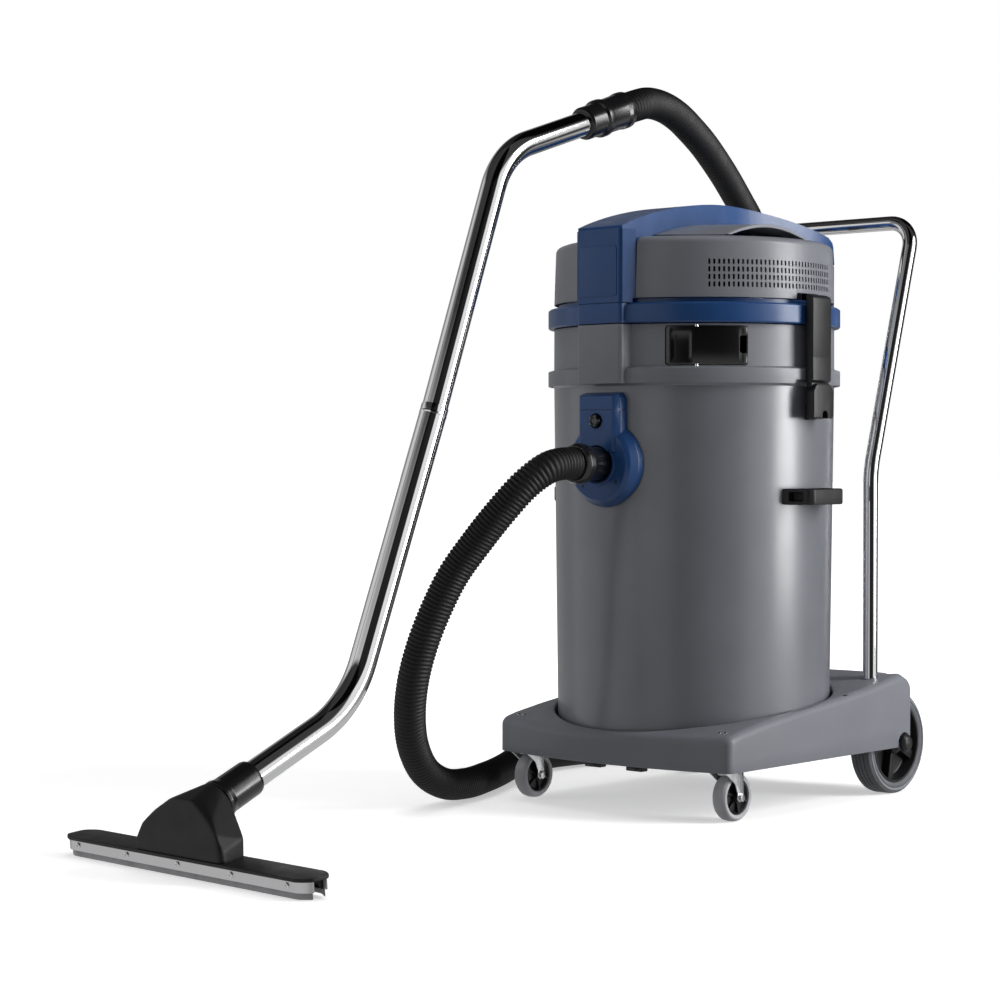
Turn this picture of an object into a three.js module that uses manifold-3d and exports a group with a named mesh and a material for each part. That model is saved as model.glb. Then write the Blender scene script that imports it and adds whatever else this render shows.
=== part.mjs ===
// A wet and dry shop vacuum: wheeled trolley, drum, latched two-motor head, hose, wand and floor squeegee.
// Millimetres, +Z up. The drum's axis is the working origin, the inlet faces -Y and the push handle is at +Y.
import * as THREE from 'three';
import { ConvexGeometry } from 'three/addons/geometries/ConvexGeometry.js';
import { mergeVertices } from 'three/addons/utils/BufferGeometryUtils.js';
import Module from 'manifold-3d';

const wasm = await Module();
wasm.setup();

// ---- Driving dimensions -------------------------------------------------------------------------------------

const GAP = 0.3;                  // clearance between pieces that touch
const DRUM_SIDES = 48;            // facets of everything turned about the drum's axis

const TANK_RADIUS = 225;          // at the top
const TANK_FOOT_RADIUS = 218;     // the drum tapers slightly towards its foot
const TANK_FOOT_Z = 99;
const TANK_TOP_Z = 679;
const TANK_WALL = 4;

const RIM_RADIUS = 234.5;         // collar skirt and head band
const SKIRT_LOW_Z = 665;
const SKIRT_TOP_Z = 690;
const COLLAR_TOP_Z = 756.7;
const BAND_LOW_Z = 757.6;
const BAND_TOP_Z = 789;
const COVER_LOW_Z = 796.3;
const COVER_RIM_Z = 889;
const COVER_RADIUS = 225;

const SPINE_HALF = 44;            // half width of the spine, and of the front bosses below it
const SPINE_FRONT_Y = -241.6;
const SPINE_REAR_HALF = 80;
const SPINE_FLARE_Y = [60, 280];
const SPINE_REAR_Y = 292;
const SPINE_WALL = 4;

const BASE_HALF = 231;
const BASE_LOW_Z = 78;
const SEAT_RADIUS = 224;
const SEAT_FLOOR_Z = 98.7;

const CASTER_X = 199.5;
const CASTER_STEM_Y = -186;
const CASTER_AXLE_Y = -164;
const CASTER_RADIUS = 37.5;
const CASTER_HALF_WIDTH = 12.5;

const WHEEL_RADIUS = 84;
const WHEEL_AXLE_Y = 266;
const WHEEL_INNER_X = 178;
const WHEEL_OUTER_X = 218;
const AXLE_RADIUS = 7.5;

const HANDLE_TUBE_RADIUS = 12;
const HANDLE_HALF = 190;
const HANDLE_BAR = [355, 945];    // y and z of the top bar's centreline

const INLET_Z = 542;
const INLET_FACE_Y = -243;
const CUFF_RADIUS = 28;
const HOSE_RADIUS = 25;
const CUFF_END_Y = -292;

const TOOL_ORIGIN = [-38, -1020]; // middle of the squeegee on the floor
const TOOL_YAW = THREE.MathUtils.degToRad(-1.5);
const WAND_TILT = THREE.MathUtils.degToRad(23.85);

// Route of the hose's centreline, from the machine's cuff to the wand's.
const HOSE_ROUTE = [
  [0, -292.3, 542], [0, -328, 542], [-3, -360, 535], [-22, -388, 510], [-54, -409, 468], [-90, -425, 420],
  [-120, -440, 374], [-142, -452, 326], [-163, -462, 270], [-182, -464, 212], [-201, -452, 155],
  [-219, -426, 104], [-234, -384, 60], [-248, -323, 33], [-262, -257, 26], [-290, -180, 26],
  [-322, -113, 26], [-350, -62, 26], [-384, -2, 26], [-406, 66, 26], [-412, 140, 26], [-402, 216, 26],
  [-374, 288, 26], [-328, 350, 27], [-276, 396, 38], [-232, 422, 72], [-202, 434, 132], [-188, 438, 210],
  [-180, 438, 330], [-178, 437, 480], [-177, 436, 640], [-177, 434, 760], [-177, 430, 845], [-176, 421, 906],
  [-174.5, 408, 946], [-172.5, 387, 975], [-168.5, 357, 999], [-159, 321, 1020], [-145, 278, 1040],
  [-124, 220, 1061], [-101, 158, 1080], [-77, 90, 1097], [-54, 24, 1110], [-35, -40, 1116.5],
  [-21, -96, 1114.5], [-14.7, -132.5, 1106], [-15.6, -165.7, 1095.1],
];

// ---- Materials ----------------------------------------------------------------------------------------------

function material(color, roughness, metalness) {
  return () => new THREE.MeshStandardMaterial({ color, roughness, metalness });
}

const greyPlastic = material(0x7d7f82, 0.45, 0);
const bluePlastic = material(0x23467d, 0.4, 0);
const blackPlastic = material(0x1e1e20, 0.5, 0);
const glossBlack = material(0x0c0c0e, 0.15, 0);
const greyRubber = material(0x78787d, 0.8, 0);
const darkRubber = material(0x46484b, 0.85, 0);
const chrome = material(0xd8d8da, 0.08, 1);
const zinc = material(0xb4b6b8, 0.35, 1);
const brushedSteel = material(0xc4c5c6, 0.3, 1);
const motorMetal = material(0x8c8e90, 0.5, 1);
const filterCloth = material(0xd9d6cc, 0.95, 0);

// ---- Geometry helpers ---------------------------------------------------------------------------------------

// Returns the geometry as one indexed, closed skin of positions only, with its faces pointing out.
function skin(geometry) {
  const bare = geometry.clone();
  bare.deleteAttribute('normal');
  bare.deleteAttribute('uv');
  const merged = mergeVertices(bare, 1e-4);
  const source = merged.index.array;
  const faces = [];
  for (let i = 0; i < source.length; i += 3) {
    const [a, b, c] = [source[i], source[i + 1], source[i + 2]];
    if (a !== b && b !== c && c !== a) faces.push(a, b, c);
  }
  if (signedVolume(merged.attributes.position.array, faces) < 0) faces.reverse();
  merged.setIndex(faces);
  return merged;
}

function signedVolume(points, faces) {
  const corners = [new THREE.Vector3(), new THREE.Vector3(), new THREE.Vector3()];
  let sum = 0;
  for (let i = 0; i < faces.length; i += 3) {
    corners.forEach((corner, k) => corner.fromArray(points, 3 * faces[i + k]));
    sum += corners[0].dot(corners[1].clone().cross(corners[2]));
  }
  return sum / 6;
}

function toSolid(geometry) {
  const closed = skin(geometry);
  return new wasm.Manifold(new wasm.Mesh({
    numProp: 3,
    vertProperties: Float32Array.from(closed.attributes.position.array),
    triVerts: Uint32Array.from(closed.index.array),
  }));
}

function fromSolid(solid) {
  const mesh = solid.getMesh();
  const geometry = new THREE.BufferGeometry();
  geometry.setAttribute('position', new THREE.Float32BufferAttribute(mesh.vertProperties, 3));
  geometry.setIndex(Array.from(mesh.triVerts));
  return geometry;
}

function join(first, ...others) {
  return fromSolid(others.reduce((sum, other) => sum.add(toSolid(other)), toSolid(first)));
}

function cut(first, ...others) {
  return fromSolid(others.reduce((rest, other) => rest.subtract(toSolid(other)), toSolid(first)));
}

function common(first, other) {
  return fromSolid(toSolid(first).intersect(toSolid(other)));
}

function box(low, high) {
  const size = high.map((value, k) => value - low[k]);
  const middle = high.map((value, k) => (value + low[k]) / 2);
  return new THREE.BoxGeometry(...size).translate(...middle);
}

// A cylinder or cone along an axis ('x', 'y' or 'z') from one coordinate to another through a centre.
function rod(axis, centre, from, to, startRadius, endRadius = startRadius, sides = 24) {
  const geometry = new THREE.CylinderGeometry(endRadius, startRadius, Math.abs(to - from), sides);
  if (to < from) geometry.rotateX(Math.PI);
  if (axis === 'x') geometry.rotateZ(-Math.PI / 2);
  if (axis === 'z') geometry.rotateX(Math.PI / 2);
  const place = [...centre];
  place['xyz'.indexOf(axis)] = (from + to) / 2;
  return geometry.translate(...place);
}

// Turns a closed outline of [radius, z] points about the Z axis.
function turned(outline, sides = DRUM_SIDES) {
  const points = [...outline, outline[0]].map(([radius, z]) => new THREE.Vector2(radius, z));
  return new THREE.LatheGeometry(points, sides).rotateX(Math.PI / 2);
}

function polygon(points) {
  return new THREE.Shape(points.map(([x, y]) => new THREE.Vector2(x, y)));
}

// Extrudes a plan outline (x, y) from one height to another.
function planBlock(shape, lowZ, highZ, curveSegments = 6) {
  const options = { depth: highZ - lowZ, bevelEnabled: false, curveSegments };
  return new THREE.ExtrudeGeometry(shape, options).translate(0, 0, lowZ);
}

const SIDE_VIEW = new THREE.Matrix4().makeBasis(
  new THREE.Vector3(0, 1, 0), new THREE.Vector3(0, 0, 1), new THREE.Vector3(1, 0, 0),
);

// Extrudes a side outline (y, z) from one x to another, with an optional rounding at both ends.
function sideBlock(shape, lowX, highX, rounding = 0) {
  const options = {
    depth: highX - lowX - 2 * rounding,
    bevelEnabled: rounding > 0,
    bevelSize: rounding,
    bevelThickness: rounding,
    bevelOffset: -rounding,
    bevelSegments: 3,
    curveSegments: 5,
  };
  return new THREE.ExtrudeGeometry(shape, options).applyMatrix4(SIDE_VIEW).translate(lowX + rounding, 0, 0);
}

// A curve through given stations: a tube extruded along it has one ring at each of them.
class StationCurve extends THREE.Curve {
  constructor(stations) {
    super();
    this.stations = stations;
  }

  getPoint(t, target = new THREE.Vector3()) {
    const last = this.stations.length - 1;
    const index = Math.min(Math.floor(t * last + 1e-9), last - 1);
    return target.lerpVectors(this.stations[index], this.stations[index + 1], t * last - index);
  }

  getPointAt(u, target) {
    return this.getPoint(u, target);
  }

  getTangentAt(u, target = new THREE.Vector3()) {
    const last = this.stations.length - 1;
    const index = Math.round(u * last);
    const before = this.stations[Math.max(index - 1, 0)];
    const here = this.stations[index];
    const after = this.stations[Math.min(index + 1, last)];
    const arriving = here.clone().sub(before).normalize();
    const leaving = after.clone().sub(here).normalize();
    return target.copy(arriving).add(leaving).normalize();
  }
}

// Stations along straight runs between corners, each corner [x, y, z, radius] turned by an arc.
function roundedStations(corners, stepsPerBend) {
  const points = corners.map(([x, y, z]) => new THREE.Vector3(x, y, z));
  const stations = [points[0]];
  for (let i = 1; i < points.length - 1; i += 1) {
    const arriving = points[i].clone().sub(points[i - 1]).normalize();
    const leaving = points[i + 1].clone().sub(points[i]).normalize();
    const turn = arriving.angleTo(leaving);
    const radius = corners[i][3];
    const start = points[i].clone().addScaledVector(arriving, -radius * Math.tan(turn / 2));
    const inward = leaving.clone().addScaledVector(arriving, -leaving.dot(arriving)).normalize();
    for (let k = 0; k <= stepsPerBend; k += 1) {
      const angle = (turn * k) / stepsPerBend;
      stations.push(start.clone()
        .addScaledVector(arriving, radius * Math.sin(angle))
        .addScaledVector(inward, radius * (1 - Math.cos(angle))));
    }
  }
  stations.push(points[points.length - 1]);
  return stations;
}

function ringShape(outerRadius, innerRadius, sides) {
  const circle = (radius) => Array.from({ length: sides }, (_, k) => {
    const angle = (2 * Math.PI * k) / sides;
    return new THREE.Vector2(radius * Math.cos(angle), radius * Math.sin(angle));
  });
  const shape = new THREE.Shape(circle(outerRadius));
  if (innerRadius > 0) shape.holes.push(new THREE.Path(circle(innerRadius)));
  return shape;
}

function tube(stations, outerRadius, innerRadius, sides) {
  const options = { extrudePath: new StationCurve(stations), steps: stations.length - 1 };
  return new THREE.ExtrudeGeometry(ringShape(outerRadius, innerRadius, sides), options);
}

// Turns an outline of [radius, distance] points about a line that starts at a point and has a direction.
function turnedAlong(outline, start, direction, sides) {
  const turn = new THREE.Quaternion().setFromUnitVectors(new THREE.Vector3(0, 0, 1), direction);
  return turned(outline, sides).applyQuaternion(turn).translate(...start);
}

// ---- Assembly helpers ---------------------------------------------------------------------------------------

const machine = new THREE.Group();
const cordParts = new Set();

function add(parent, name, geometry, makeMaterial) {
  const mesh = new THREE.Mesh(skin(geometry), makeMaterial());
  mesh.name = name;
  parent.add(mesh);
  return mesh;
}

// Makes the right-hand (+X) piece and its mirror image.
function addPair(parent, name, makeGeometry, makeMaterial) {
  for (const [side, sign] of [['right', 1], ['left', -1]]) {
    const geometry = makeGeometry().scale(sign, 1, 1);
    add(parent, `${name}_${side}`, geometry, makeMaterial);
  }
}

// ---- Trolley ------------------------------------------------------------------------------------------------

function basePlan() {
  const shape = new THREE.Shape();
  shape.moveTo(-BASE_HALF, 300);
  shape.lineTo(-BASE_HALF, -196);
  shape.bezierCurveTo(-BASE_HALF, -209, -226, -214, -212, -215.5);
  shape.quadraticCurveTo(0, -270, 212, -215.5);
  shape.bezierCurveTo(226, -214, BASE_HALF, -209, BASE_HALF, -196);
  shape.lineTo(BASE_HALF, 300);
  return shape;
}

function deckProfile() {
  const shape = new THREE.Shape();
  shape.moveTo(-246, 40);
  shape.lineTo(-246, 112);
  shape.quadraticCurveTo(-246, 124, -234, 127);
  shape.lineTo(-207, 133);
  shape.quadraticCurveTo(-120, 153, 0, 163);
  shape.quadraticCurveTo(140, 175, 255, 196.5);
  shape.bezierCurveTo(280, 200, 293.5, 182, 293.5, 160);
  shape.lineTo(293.5, 40);
  return shape;
}

function trolleyBase() {
  const deck = sideBlock(deckProfile(), -BASE_HALF, BASE_HALF, 11);
  const moulding = common(deck, planBlock(basePlan(), BASE_LOW_Z, 210));
  const seat = rod('z', [0, 0, 0], SEAT_FLOOR_Z, 230, SEAT_RADIUS, SEAT_RADIUS, DRUM_SIDES);
  const underside = rod('z', [0, 0, 0], 60, SEAT_FLOOR_Z - 8, 150, 150, 24);
  const rearPocket = box([-150, 240, 60], [150, 286, 180]);
  const axleBore = rod('x', [0, WHEEL_AXLE_Y, WHEEL_RADIUS], -240, 240, AXLE_RADIUS + GAP);
  const cuts = [seat, underside, rearPocket, axleBore];
  for (const side of [-1, 1]) {
    const inner = side * (WHEEL_INNER_X - 6);
    const outer = side * (WHEEL_OUTER_X + 6);
    cuts.push(box(
      [Math.min(inner, outer), WHEEL_AXLE_Y - WHEEL_RADIUS - 8, 60],
      [Math.max(inner, outer), 320, 2 * WHEEL_RADIUS + 6],
    ));
    cuts.push(rod('z', [side * CASTER_X, CASTER_STEM_Y, 0], 60, 84, 28));
    cuts.push(rod('z', [side * HANDLE_HALF, 227, 0], 172, 230, HANDLE_TUBE_RADIUS + GAP));
  }
  return cut(moulding, ...cuts);
}

function casterPlate() {
  const plate = rod('z', [CASTER_X, CASTER_STEM_Y, 0], 81.2, 83.7, 27);
  const kingpin = rod('z', [CASTER_X, CASTER_STEM_Y, 0], 75, 82, 5, 5, 16);
  const head = rod('z', [CASTER_X, CASTER_STEM_Y, 0], 72.5, 76.6, 9, 9, 6);
  return join(plate, kingpin, head);
}

function casterFork() {
  const crown = rod('z', [CASTER_X, CASTER_STEM_Y, 0], 77, 80.8, 25);
  const leg = polygon([
    [-204, 77.4], [-192, 70], [-178, 58], [-172, 44], [-171, 34], [-164, 30.5], [-157, 34], [-156, 42],
    [-157, 60], [-157, 77.4],
  ]);
  const inner = CASTER_HALF_WIDTH + 1.4;
  const legs = [-1, 1].map((side) => sideBlock(
    leg,
    CASTER_X + Math.min(side * inner, side * (inner + 2.6)),
    CASTER_X + Math.max(side * inner, side * (inner + 2.6)),
  ));
  const kingpinBore = rod('z', [CASTER_X, CASTER_STEM_Y, 0], 70, 90, 5 + GAP, 5 + GAP, 16);
  const bridge = box([CASTER_X - inner - 2.6, -204, 77], [CASTER_X + inner + 2.6, -170, 79.5]);
  const axle = [0, CASTER_AXLE_Y, CASTER_RADIUS];
  const axleBore = rod('x', axle, CASTER_X - 30, CASTER_X + 30, 4 + GAP, 4 + GAP, 16);
  return cut(join(crown, bridge, ...legs), kingpinBore, axleBore);
}

function casterAxle() {
  const centre = [0, CASTER_AXLE_Y, CASTER_RADIUS];
  const shaft = rod('x', centre, CASTER_X - 19, CASTER_X + 19, 4, 4, 16);
  const head = rod('x', centre, CASTER_X + 17.3, CASTER_X + 20.5, 7, 7, 6);
  const nut = rod('x', centre, CASTER_X - 20.5, CASTER_X - 17.3, 7, 7, 6);
  return join(shaft, head, nut);
}

// A wheel's outline of [radius, x] points, turned about the X axis through a centre.
function wheelBody(outline, centre, sides) {
  return turned(outline, sides).rotateY(Math.PI / 2).translate(...centre);
}

function casterTyre() {
  const half = CASTER_HALF_WIDTH;
  const rim = 27;
  const outline = [
    [rim, -half], [32, -half], [36.5, -half + 4], [CASTER_RADIUS, -half + 8],
    [CASTER_RADIUS, half - 8], [36.5, half - 4], [32, half], [rim, half],
  ];
  return wheelBody(outline, [CASTER_X, CASTER_AXLE_Y, CASTER_RADIUS], 24);
}

function casterHub() {
  const outline = [[4 + GAP, -12], [9, -12], [26.7, -8], [26.7, 8], [9, 12], [4 + GAP, 12]];
  return wheelBody(outline, [CASTER_X, CASTER_AXLE_Y, CASTER_RADIUS], 24);
}

function rearTyre() {
  const outline = [
    [66, WHEEL_INNER_X], [79, WHEEL_INNER_X], [83, WHEEL_INNER_X + 4], [WHEEL_RADIUS, WHEEL_INNER_X + 9],
    [WHEEL_RADIUS, WHEEL_OUTER_X - 9], [83, WHEEL_OUTER_X - 4], [79, WHEEL_OUTER_X], [66, WHEEL_OUTER_X],
  ];
  return wheelBody(outline, [0, WHEEL_AXLE_Y, WHEEL_RADIUS], 30);
}

function rearHub() {
  const bore = AXLE_RADIUS + GAP;
  const outline = [
    [bore, WHEEL_INNER_X + 1], [18, WHEEL_INNER_X + 1], [65.7, WHEEL_INNER_X + 3],
    [65.7, WHEEL_OUTER_X - 2], [60, WHEEL_OUTER_X - 2], [58, WHEEL_INNER_X + 22], [18, WHEEL_INNER_X + 24],
    [16, WHEEL_OUTER_X - 2], [bore, WHEEL_OUTER_X - 2],
  ];
  return wheelBody(outline, [0, WHEEL_AXLE_Y, WHEEL_RADIUS], 30);
}

function axleCap() {
  const outline = [[0, 231.6], [15, 231.6], [15, 236], [13, 239], [9, 241], [0, 242]];
  return wheelBody(outline, [0, WHEEL_AXLE_Y, WHEEL_RADIUS], 16);
}

function handleStations() {
  const [barY, barZ] = HANDLE_BAR;
  const side = [[HANDLE_HALF, 227, 175], [HANDLE_HALF, 227, 530, 160]];
  const shoulder = [HANDLE_HALF, barY, barZ, 46];
  const mirrored = side.map(([x, y, z, radius]) => [-x, y, z, radius]).reverse();
  const corners = [...side, shoulder, [-shoulder[0], ...shoulder.slice(1)], ...mirrored];
  return roundedStations(corners, 4);
}

function buildTrolley(parent) {
  add(parent, 'trolley_base', trolleyBase(), greyPlastic);
  addPair(parent, 'caster_plate', casterPlate, zinc);
  addPair(parent, 'caster_fork', casterFork, zinc);
  addPair(parent, 'caster_axle', casterAxle, zinc);
  addPair(parent, 'caster_tyre', casterTyre, greyRubber);
  addPair(parent, 'caster_hub', casterHub, blackPlastic);
  add(parent, 'rear_axle', rod('x', [0, WHEEL_AXLE_Y, WHEEL_RADIUS], -231, 231, AXLE_RADIUS), zinc);
  addPair(parent, 'rear_tyre', rearTyre, darkRubber);
  addPair(parent, 'rear_hub', rearHub, blackPlastic);
  addPair(parent, 'axle_cap', axleCap, blackPlastic);
  add(parent, 'push_handle', tube(handleStations(), HANDLE_TUBE_RADIUS, 10.5, 10), chrome);
}

// ---- Tank ---------------------------------------------------------------------------------------------------

function tankShell() {
  const top = TANK_TOP_Z;
  const outline = [
    [0, TANK_FOOT_Z], [TANK_FOOT_RADIUS - 8, TANK_FOOT_Z], [TANK_FOOT_RADIUS, TANK_FOOT_Z + 9],
    [TANK_RADIUS, 660], [TANK_RADIUS, top - 4], [229.5, top - 4], [229.5, top],
    [TANK_RADIUS - TANK_WALL, top],
    [TANK_FOOT_RADIUS - TANK_WALL, TANK_FOOT_Z + 12], [TANK_FOOT_RADIUS - 14, TANK_FOOT_Z + 6],
    [0, TANK_FOOT_Z + 6],
  ];
  const inletHole = rod('y', [0, 0, INLET_Z], -260, -180, 24);
  return cut(turned(outline), inletHole);
}

// The drum's outside, grown by a clearance, for shaping what is fixed to it.
function drumSpace(clearance) {
  const outline = [
    [0, 60], [TANK_FOOT_RADIUS + clearance, 60], [TANK_FOOT_RADIUS + clearance, TANK_FOOT_Z + 9],
    [TANK_RADIUS + clearance, 660], [TANK_RADIUS + clearance, 900], [0, 900],
  ];
  return turned(outline);
}

function sideHandle() {
  const outline = polygon([
    [210, -57], [222, -56], [238, -50], [256, -46], [263, -40], [263, 40], [256, 46], [238, 50], [222, 56],
    [210, 57], [210, 34], [249, 30], [253, 24], [253, -24], [249, -30], [210, -34],
  ]);
  return cut(planBlock(outline, 478.5, 503.5), drumSpace(GAP));
}

function inletHousing() {
  const disc = rod('y', [0, 0, INLET_Z], -200, INLET_FACE_Y, 68, 56, 32);
  const blockPlan = polygon([[-42, -200], [-40, -240], [-34, -247], [34, -247], [40, -240], [42, -200]]);
  const block = planBlock(blockPlan, 560, 652);
  const brow = sideBlock(polygon([[-248, 640], [-248, 700], [-180, 700], [-180, 664]]), -60, 60);
  const bore = rod('y', [0, 0, INLET_Z], -270, -180, CUFF_RADIUS + GAP, CUFF_RADIUS + GAP, 24);
  const buttonHole = rod('y', [0, 0, 608], -270, -227.4, 11 + GAP);
  return cut(join(disc, block), drumSpace(GAP), brow, bore, buttonHole);
}

function inletButton() {
  return rod('y', [0, 0, 608], -231.6, -252, 11, 9.5);
}

function machineCuff() {
  const outline = [
    [19, 228], [23, 228], [23.4, 236], [CUFF_RADIUS, 238], [CUFF_RADIUS, 276], [31, 279], [31.5, 288],
    [29, -CUFF_END_Y], [19, -CUFF_END_Y],
  ];
  return turnedAlong(outline, [0, 0, INLET_Z], new THREE.Vector3(0, -1, 0), 24);
}

function latchBracket() {
  const foot = box([215, -10, 600], [232, 10, 634]);
  const ear = box([225, -10, 608], [246, 10, 631]);
  const pin = rod('y', [240, 0, 620], -21.5, 21.5, 3, 3, 12);
  return join(cut(join(foot, ear), drumSpace(GAP)), pin);
}

function buildTank(parent) {
  add(parent, 'tank', tankShell(), greyPlastic);
  addPair(parent, 'side_handle', sideHandle, blackPlastic);
  add(parent, 'inlet_housing', inletHousing(), bluePlastic);
  add(parent, 'inlet_button', inletButton(), blackPlastic);
  add(parent, 'hose_cuff_machine', machineCuff(), blackPlastic);
  addPair(parent, 'latch_bracket', latchBracket, blackPlastic);
}

// ---- Latches ------------------------------------------------------------------------------------------------

function latchStrap() {
  const profile = new THREE.Shape();
  profile.moveTo(236, 612);
  profile.lineTo(246, 612);
  profile.lineTo(246, 668);
  profile.lineTo(250, 670);
  profile.lineTo(250, 795);
  profile.quadraticCurveTo(250, 803, 243, 803);
  profile.lineTo(236, 803);
  const front = new THREE.Matrix4().makeBasis(
    new THREE.Vector3(1, 0, 0), new THREE.Vector3(0, 0, 1), new THREE.Vector3(0, -1, 0),
  );
  const options = { depth: 50, bevelEnabled: false, curveSegments: 4 };
  const strap = new THREE.ExtrudeGeometry(profile, options).applyMatrix4(front).translate(0, 25, 0);
  const waist = [-1, 1].map((side) => box(
    [230, Math.min(side * 22, side * 30), 600],
    [260, Math.max(side * 22, side * 30), 668],
  ));
  const fork = box([230, -10.6, 600], [260, 10.6, 636]);
  const bore = rod('y', [240, 0, 620], -30, 30, 3 + GAP, 3 + GAP, 12);
  return cut(strap, ...waist, fork, bore);
}

function latchLever() {
  const shell = box([238, -27.5, 612], [253.5, 27.5, 666.5]);
  const hollow = box([230, -22.4, 605], [247, 22.4, 680]);
  const bracketNotch = join(
    box([230, -11.5, 600], [260, 11.5, 630]),
    rod('x', [0, 0, 630], 230, 260, 11.5, 11.5, 20),
  );
  return cut(shell, hollow, bracketNotch);
}

// ---- Collar and what hangs in it ----------------------------------------------------------------------------

const FLAP_START = THREE.MathUtils.degToRad(26.6);
const FLAP_END = THREE.MathUtils.degToRad(58.6);
const FLAP_PIN = THREE.MathUtils.degToRad(38.5);
const FLAP_LOW_Z = 693.2;
const FLAP_TOP_Z = 752.4;

// A curved plate on the drum's axis between two radii, two angles from -Y towards +X, and two heights.
function curvedPlate(innerRadius, outerRadius, startAngle, endAngle, lowZ, highZ) {
  const shape = new THREE.Shape();
  shape.absarc(0, 0, outerRadius, startAngle - Math.PI / 2, endAngle - Math.PI / 2, false);
  shape.absarc(0, 0, innerRadius, endAngle - Math.PI / 2, startAngle - Math.PI / 2, true);
  return planBlock(shape, lowZ, highZ, 10);
}

function flapPinCentre() {
  return [224 * Math.sin(FLAP_PIN), -224 * Math.cos(FLAP_PIN), 0];
}

function collarShell() {
  const outline = [
    [230.2, SKIRT_LOW_Z], [RIM_RADIUS, SKIRT_LOW_Z], [RIM_RADIUS, SKIRT_TOP_Z - 1], [233.5, SKIRT_TOP_Z],
    [225.5, SKIRT_TOP_Z + 0.8], [225, COLLAR_TOP_Z], [214, COLLAR_TOP_Z], [214, 753.4], [220, 753.4],
    [220, 692], [196, 692], [196, 686], [230.2, 686],
  ];
  const edge = SPINE_HALF - 4;
  const bossPlan = polygon([
    [-SPINE_HALF - 6, -210], [-SPINE_HALF, -236], [-edge, SPINE_FRONT_Y], [edge, SPINE_FRONT_Y],
    [SPINE_HALF, -236], [SPINE_HALF + 6, -210],
  ]);
  const boss = cut(
    planBlock(bossPlan, SKIRT_LOW_Z, COLLAR_TOP_Z),
    rod('z', [0, 0, 0], 600, 688, 230.2, 230.2, DRUM_SIDES),
    rod('z', [0, 0, 0], 600, 800, 221, 221, DRUM_SIDES),
  );
  const [start, end] = [FLAP_START - 0.007, FLAP_END + 0.004];
  const opening = curvedPlate(218, 240, start, end, FLAP_LOW_Z - 0.8, FLAP_TOP_Z + 0.6);
  return cut(join(turned(outline), boss), opening);
}

function flapValve() {
  const plate = curvedPlate(221, 227, FLAP_START, FLAP_END, FLAP_LOW_Z, FLAP_TOP_Z);
  return cut(plate, rod('z', flapPinCentre(), 680, 770, 2.5 + GAP, 2.5 + GAP, 12));
}

function filterBasket() {
  const outline = [
    [0, 455], [118, 455], [126, 462], [176, 688], [178, 692.3], [203, 692.3], [203, 696], [173, 696],
    [122.5, 465], [116, 459], [0, 459],
  ];
  return turned(outline, 32);
}

function buildCollar(parent) {
  add(parent, 'collar', collarShell(), greyPlastic);
  add(parent, 'flap_valve', flapValve(), glossBlack);
  add(parent, 'flap_pin', rod('z', flapPinCentre(), FLAP_LOW_Z - 0.5, FLAP_TOP_Z + 0.3, 2.5, 2.5, 12), zinc);
  add(parent, 'filter', filterBasket(), filterCloth);
}

// ---- Head ---------------------------------------------------------------------------------------------------

// Plan outline of the spine, grown or shrunk by an offset.
function spinePlan(offset) {
  const half = SPINE_HALF + offset;
  const front = SPINE_FRONT_Y - offset;
  const rear = SPINE_REAR_Y + 4 + offset;
  const rearHalf = SPINE_REAR_HALF + offset;
  const [flareStart, flareEnd] = SPINE_FLARE_Y;
  const bend = 75;
  const shape = new THREE.Shape();
  shape.moveTo(-half + 5, front);
  shape.lineTo(half - 5, front);
  shape.lineTo(half, front + 5);
  shape.lineTo(half, flareStart);
  shape.bezierCurveTo(half, flareStart + bend, rearHalf, flareEnd - bend, rearHalf, flareEnd);
  shape.lineTo(rearHalf - 8, rear);
  shape.lineTo(-rearHalf + 8, rear);
  shape.lineTo(-rearHalf, flareEnd);
  shape.bezierCurveTo(-rearHalf, flareEnd - bend, -half, flareStart + bend, -half, flareStart);
  shape.lineTo(-half, front + 5);
  return shape;
}

// Side outline of the spine's arch, shrunk by an offset; the front leg reaches lower than the rest.
function spineProfile(offset) {
  const shape = new THREE.Shape();
  shape.moveTo(SPINE_FRONT_Y + offset, BAND_TOP_Z + GAP - 3 * offset);
  shape.lineTo(SPINE_FRONT_Y + offset, 904 - offset);
  shape.lineTo(-238 + offset, 907 - offset);
  shape.bezierCurveTo(-170, 934 - offset, -60, 957 - offset, 30, 957 - offset);
  shape.bezierCurveTo(120, 957 - offset, 200, 938 - offset, 266 - offset, 919 - offset);
  shape.lineTo(277 - offset, 911 - offset);
  shape.lineTo(SPINE_REAR_Y - offset, 874.3 - 3 * offset);
  shape.lineTo(229, 874.3 - 3 * offset);
  shape.lineTo(229, 884 - 3 * offset);
  shape.lineTo(-206 - offset, 884 - 3 * offset);
  shape.lineTo(-206 - offset, BAND_TOP_Z + GAP - 3 * offset);
  return shape;
}

function spineShell() {
  const outer = common(sideBlock(spineProfile(0), -100, 100), planBlock(spinePlan(0), 780, 980, 8));
  const insidePlan = planBlock(spinePlan(-SPINE_WALL), 770, 980, 8);
  const inner = common(sideBlock(spineProfile(SPINE_WALL), -100, 100), insidePlan);
  const cheeks = [-1, 1].map((side) => planBlock(polygon([
    [side * 43, -237], [side * 54.5, -217.5], [side * 43, -217.5],
  ]), BAND_TOP_Z + GAP, 893));
  const bandLip = turned([[213.9, 780], [218.4, 780], [218.4, COVER_LOW_Z], [213.9, COVER_LOW_Z]]);
  return cut(join(cut(outer, inner), ...cheeks), bandLip);
}

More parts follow.
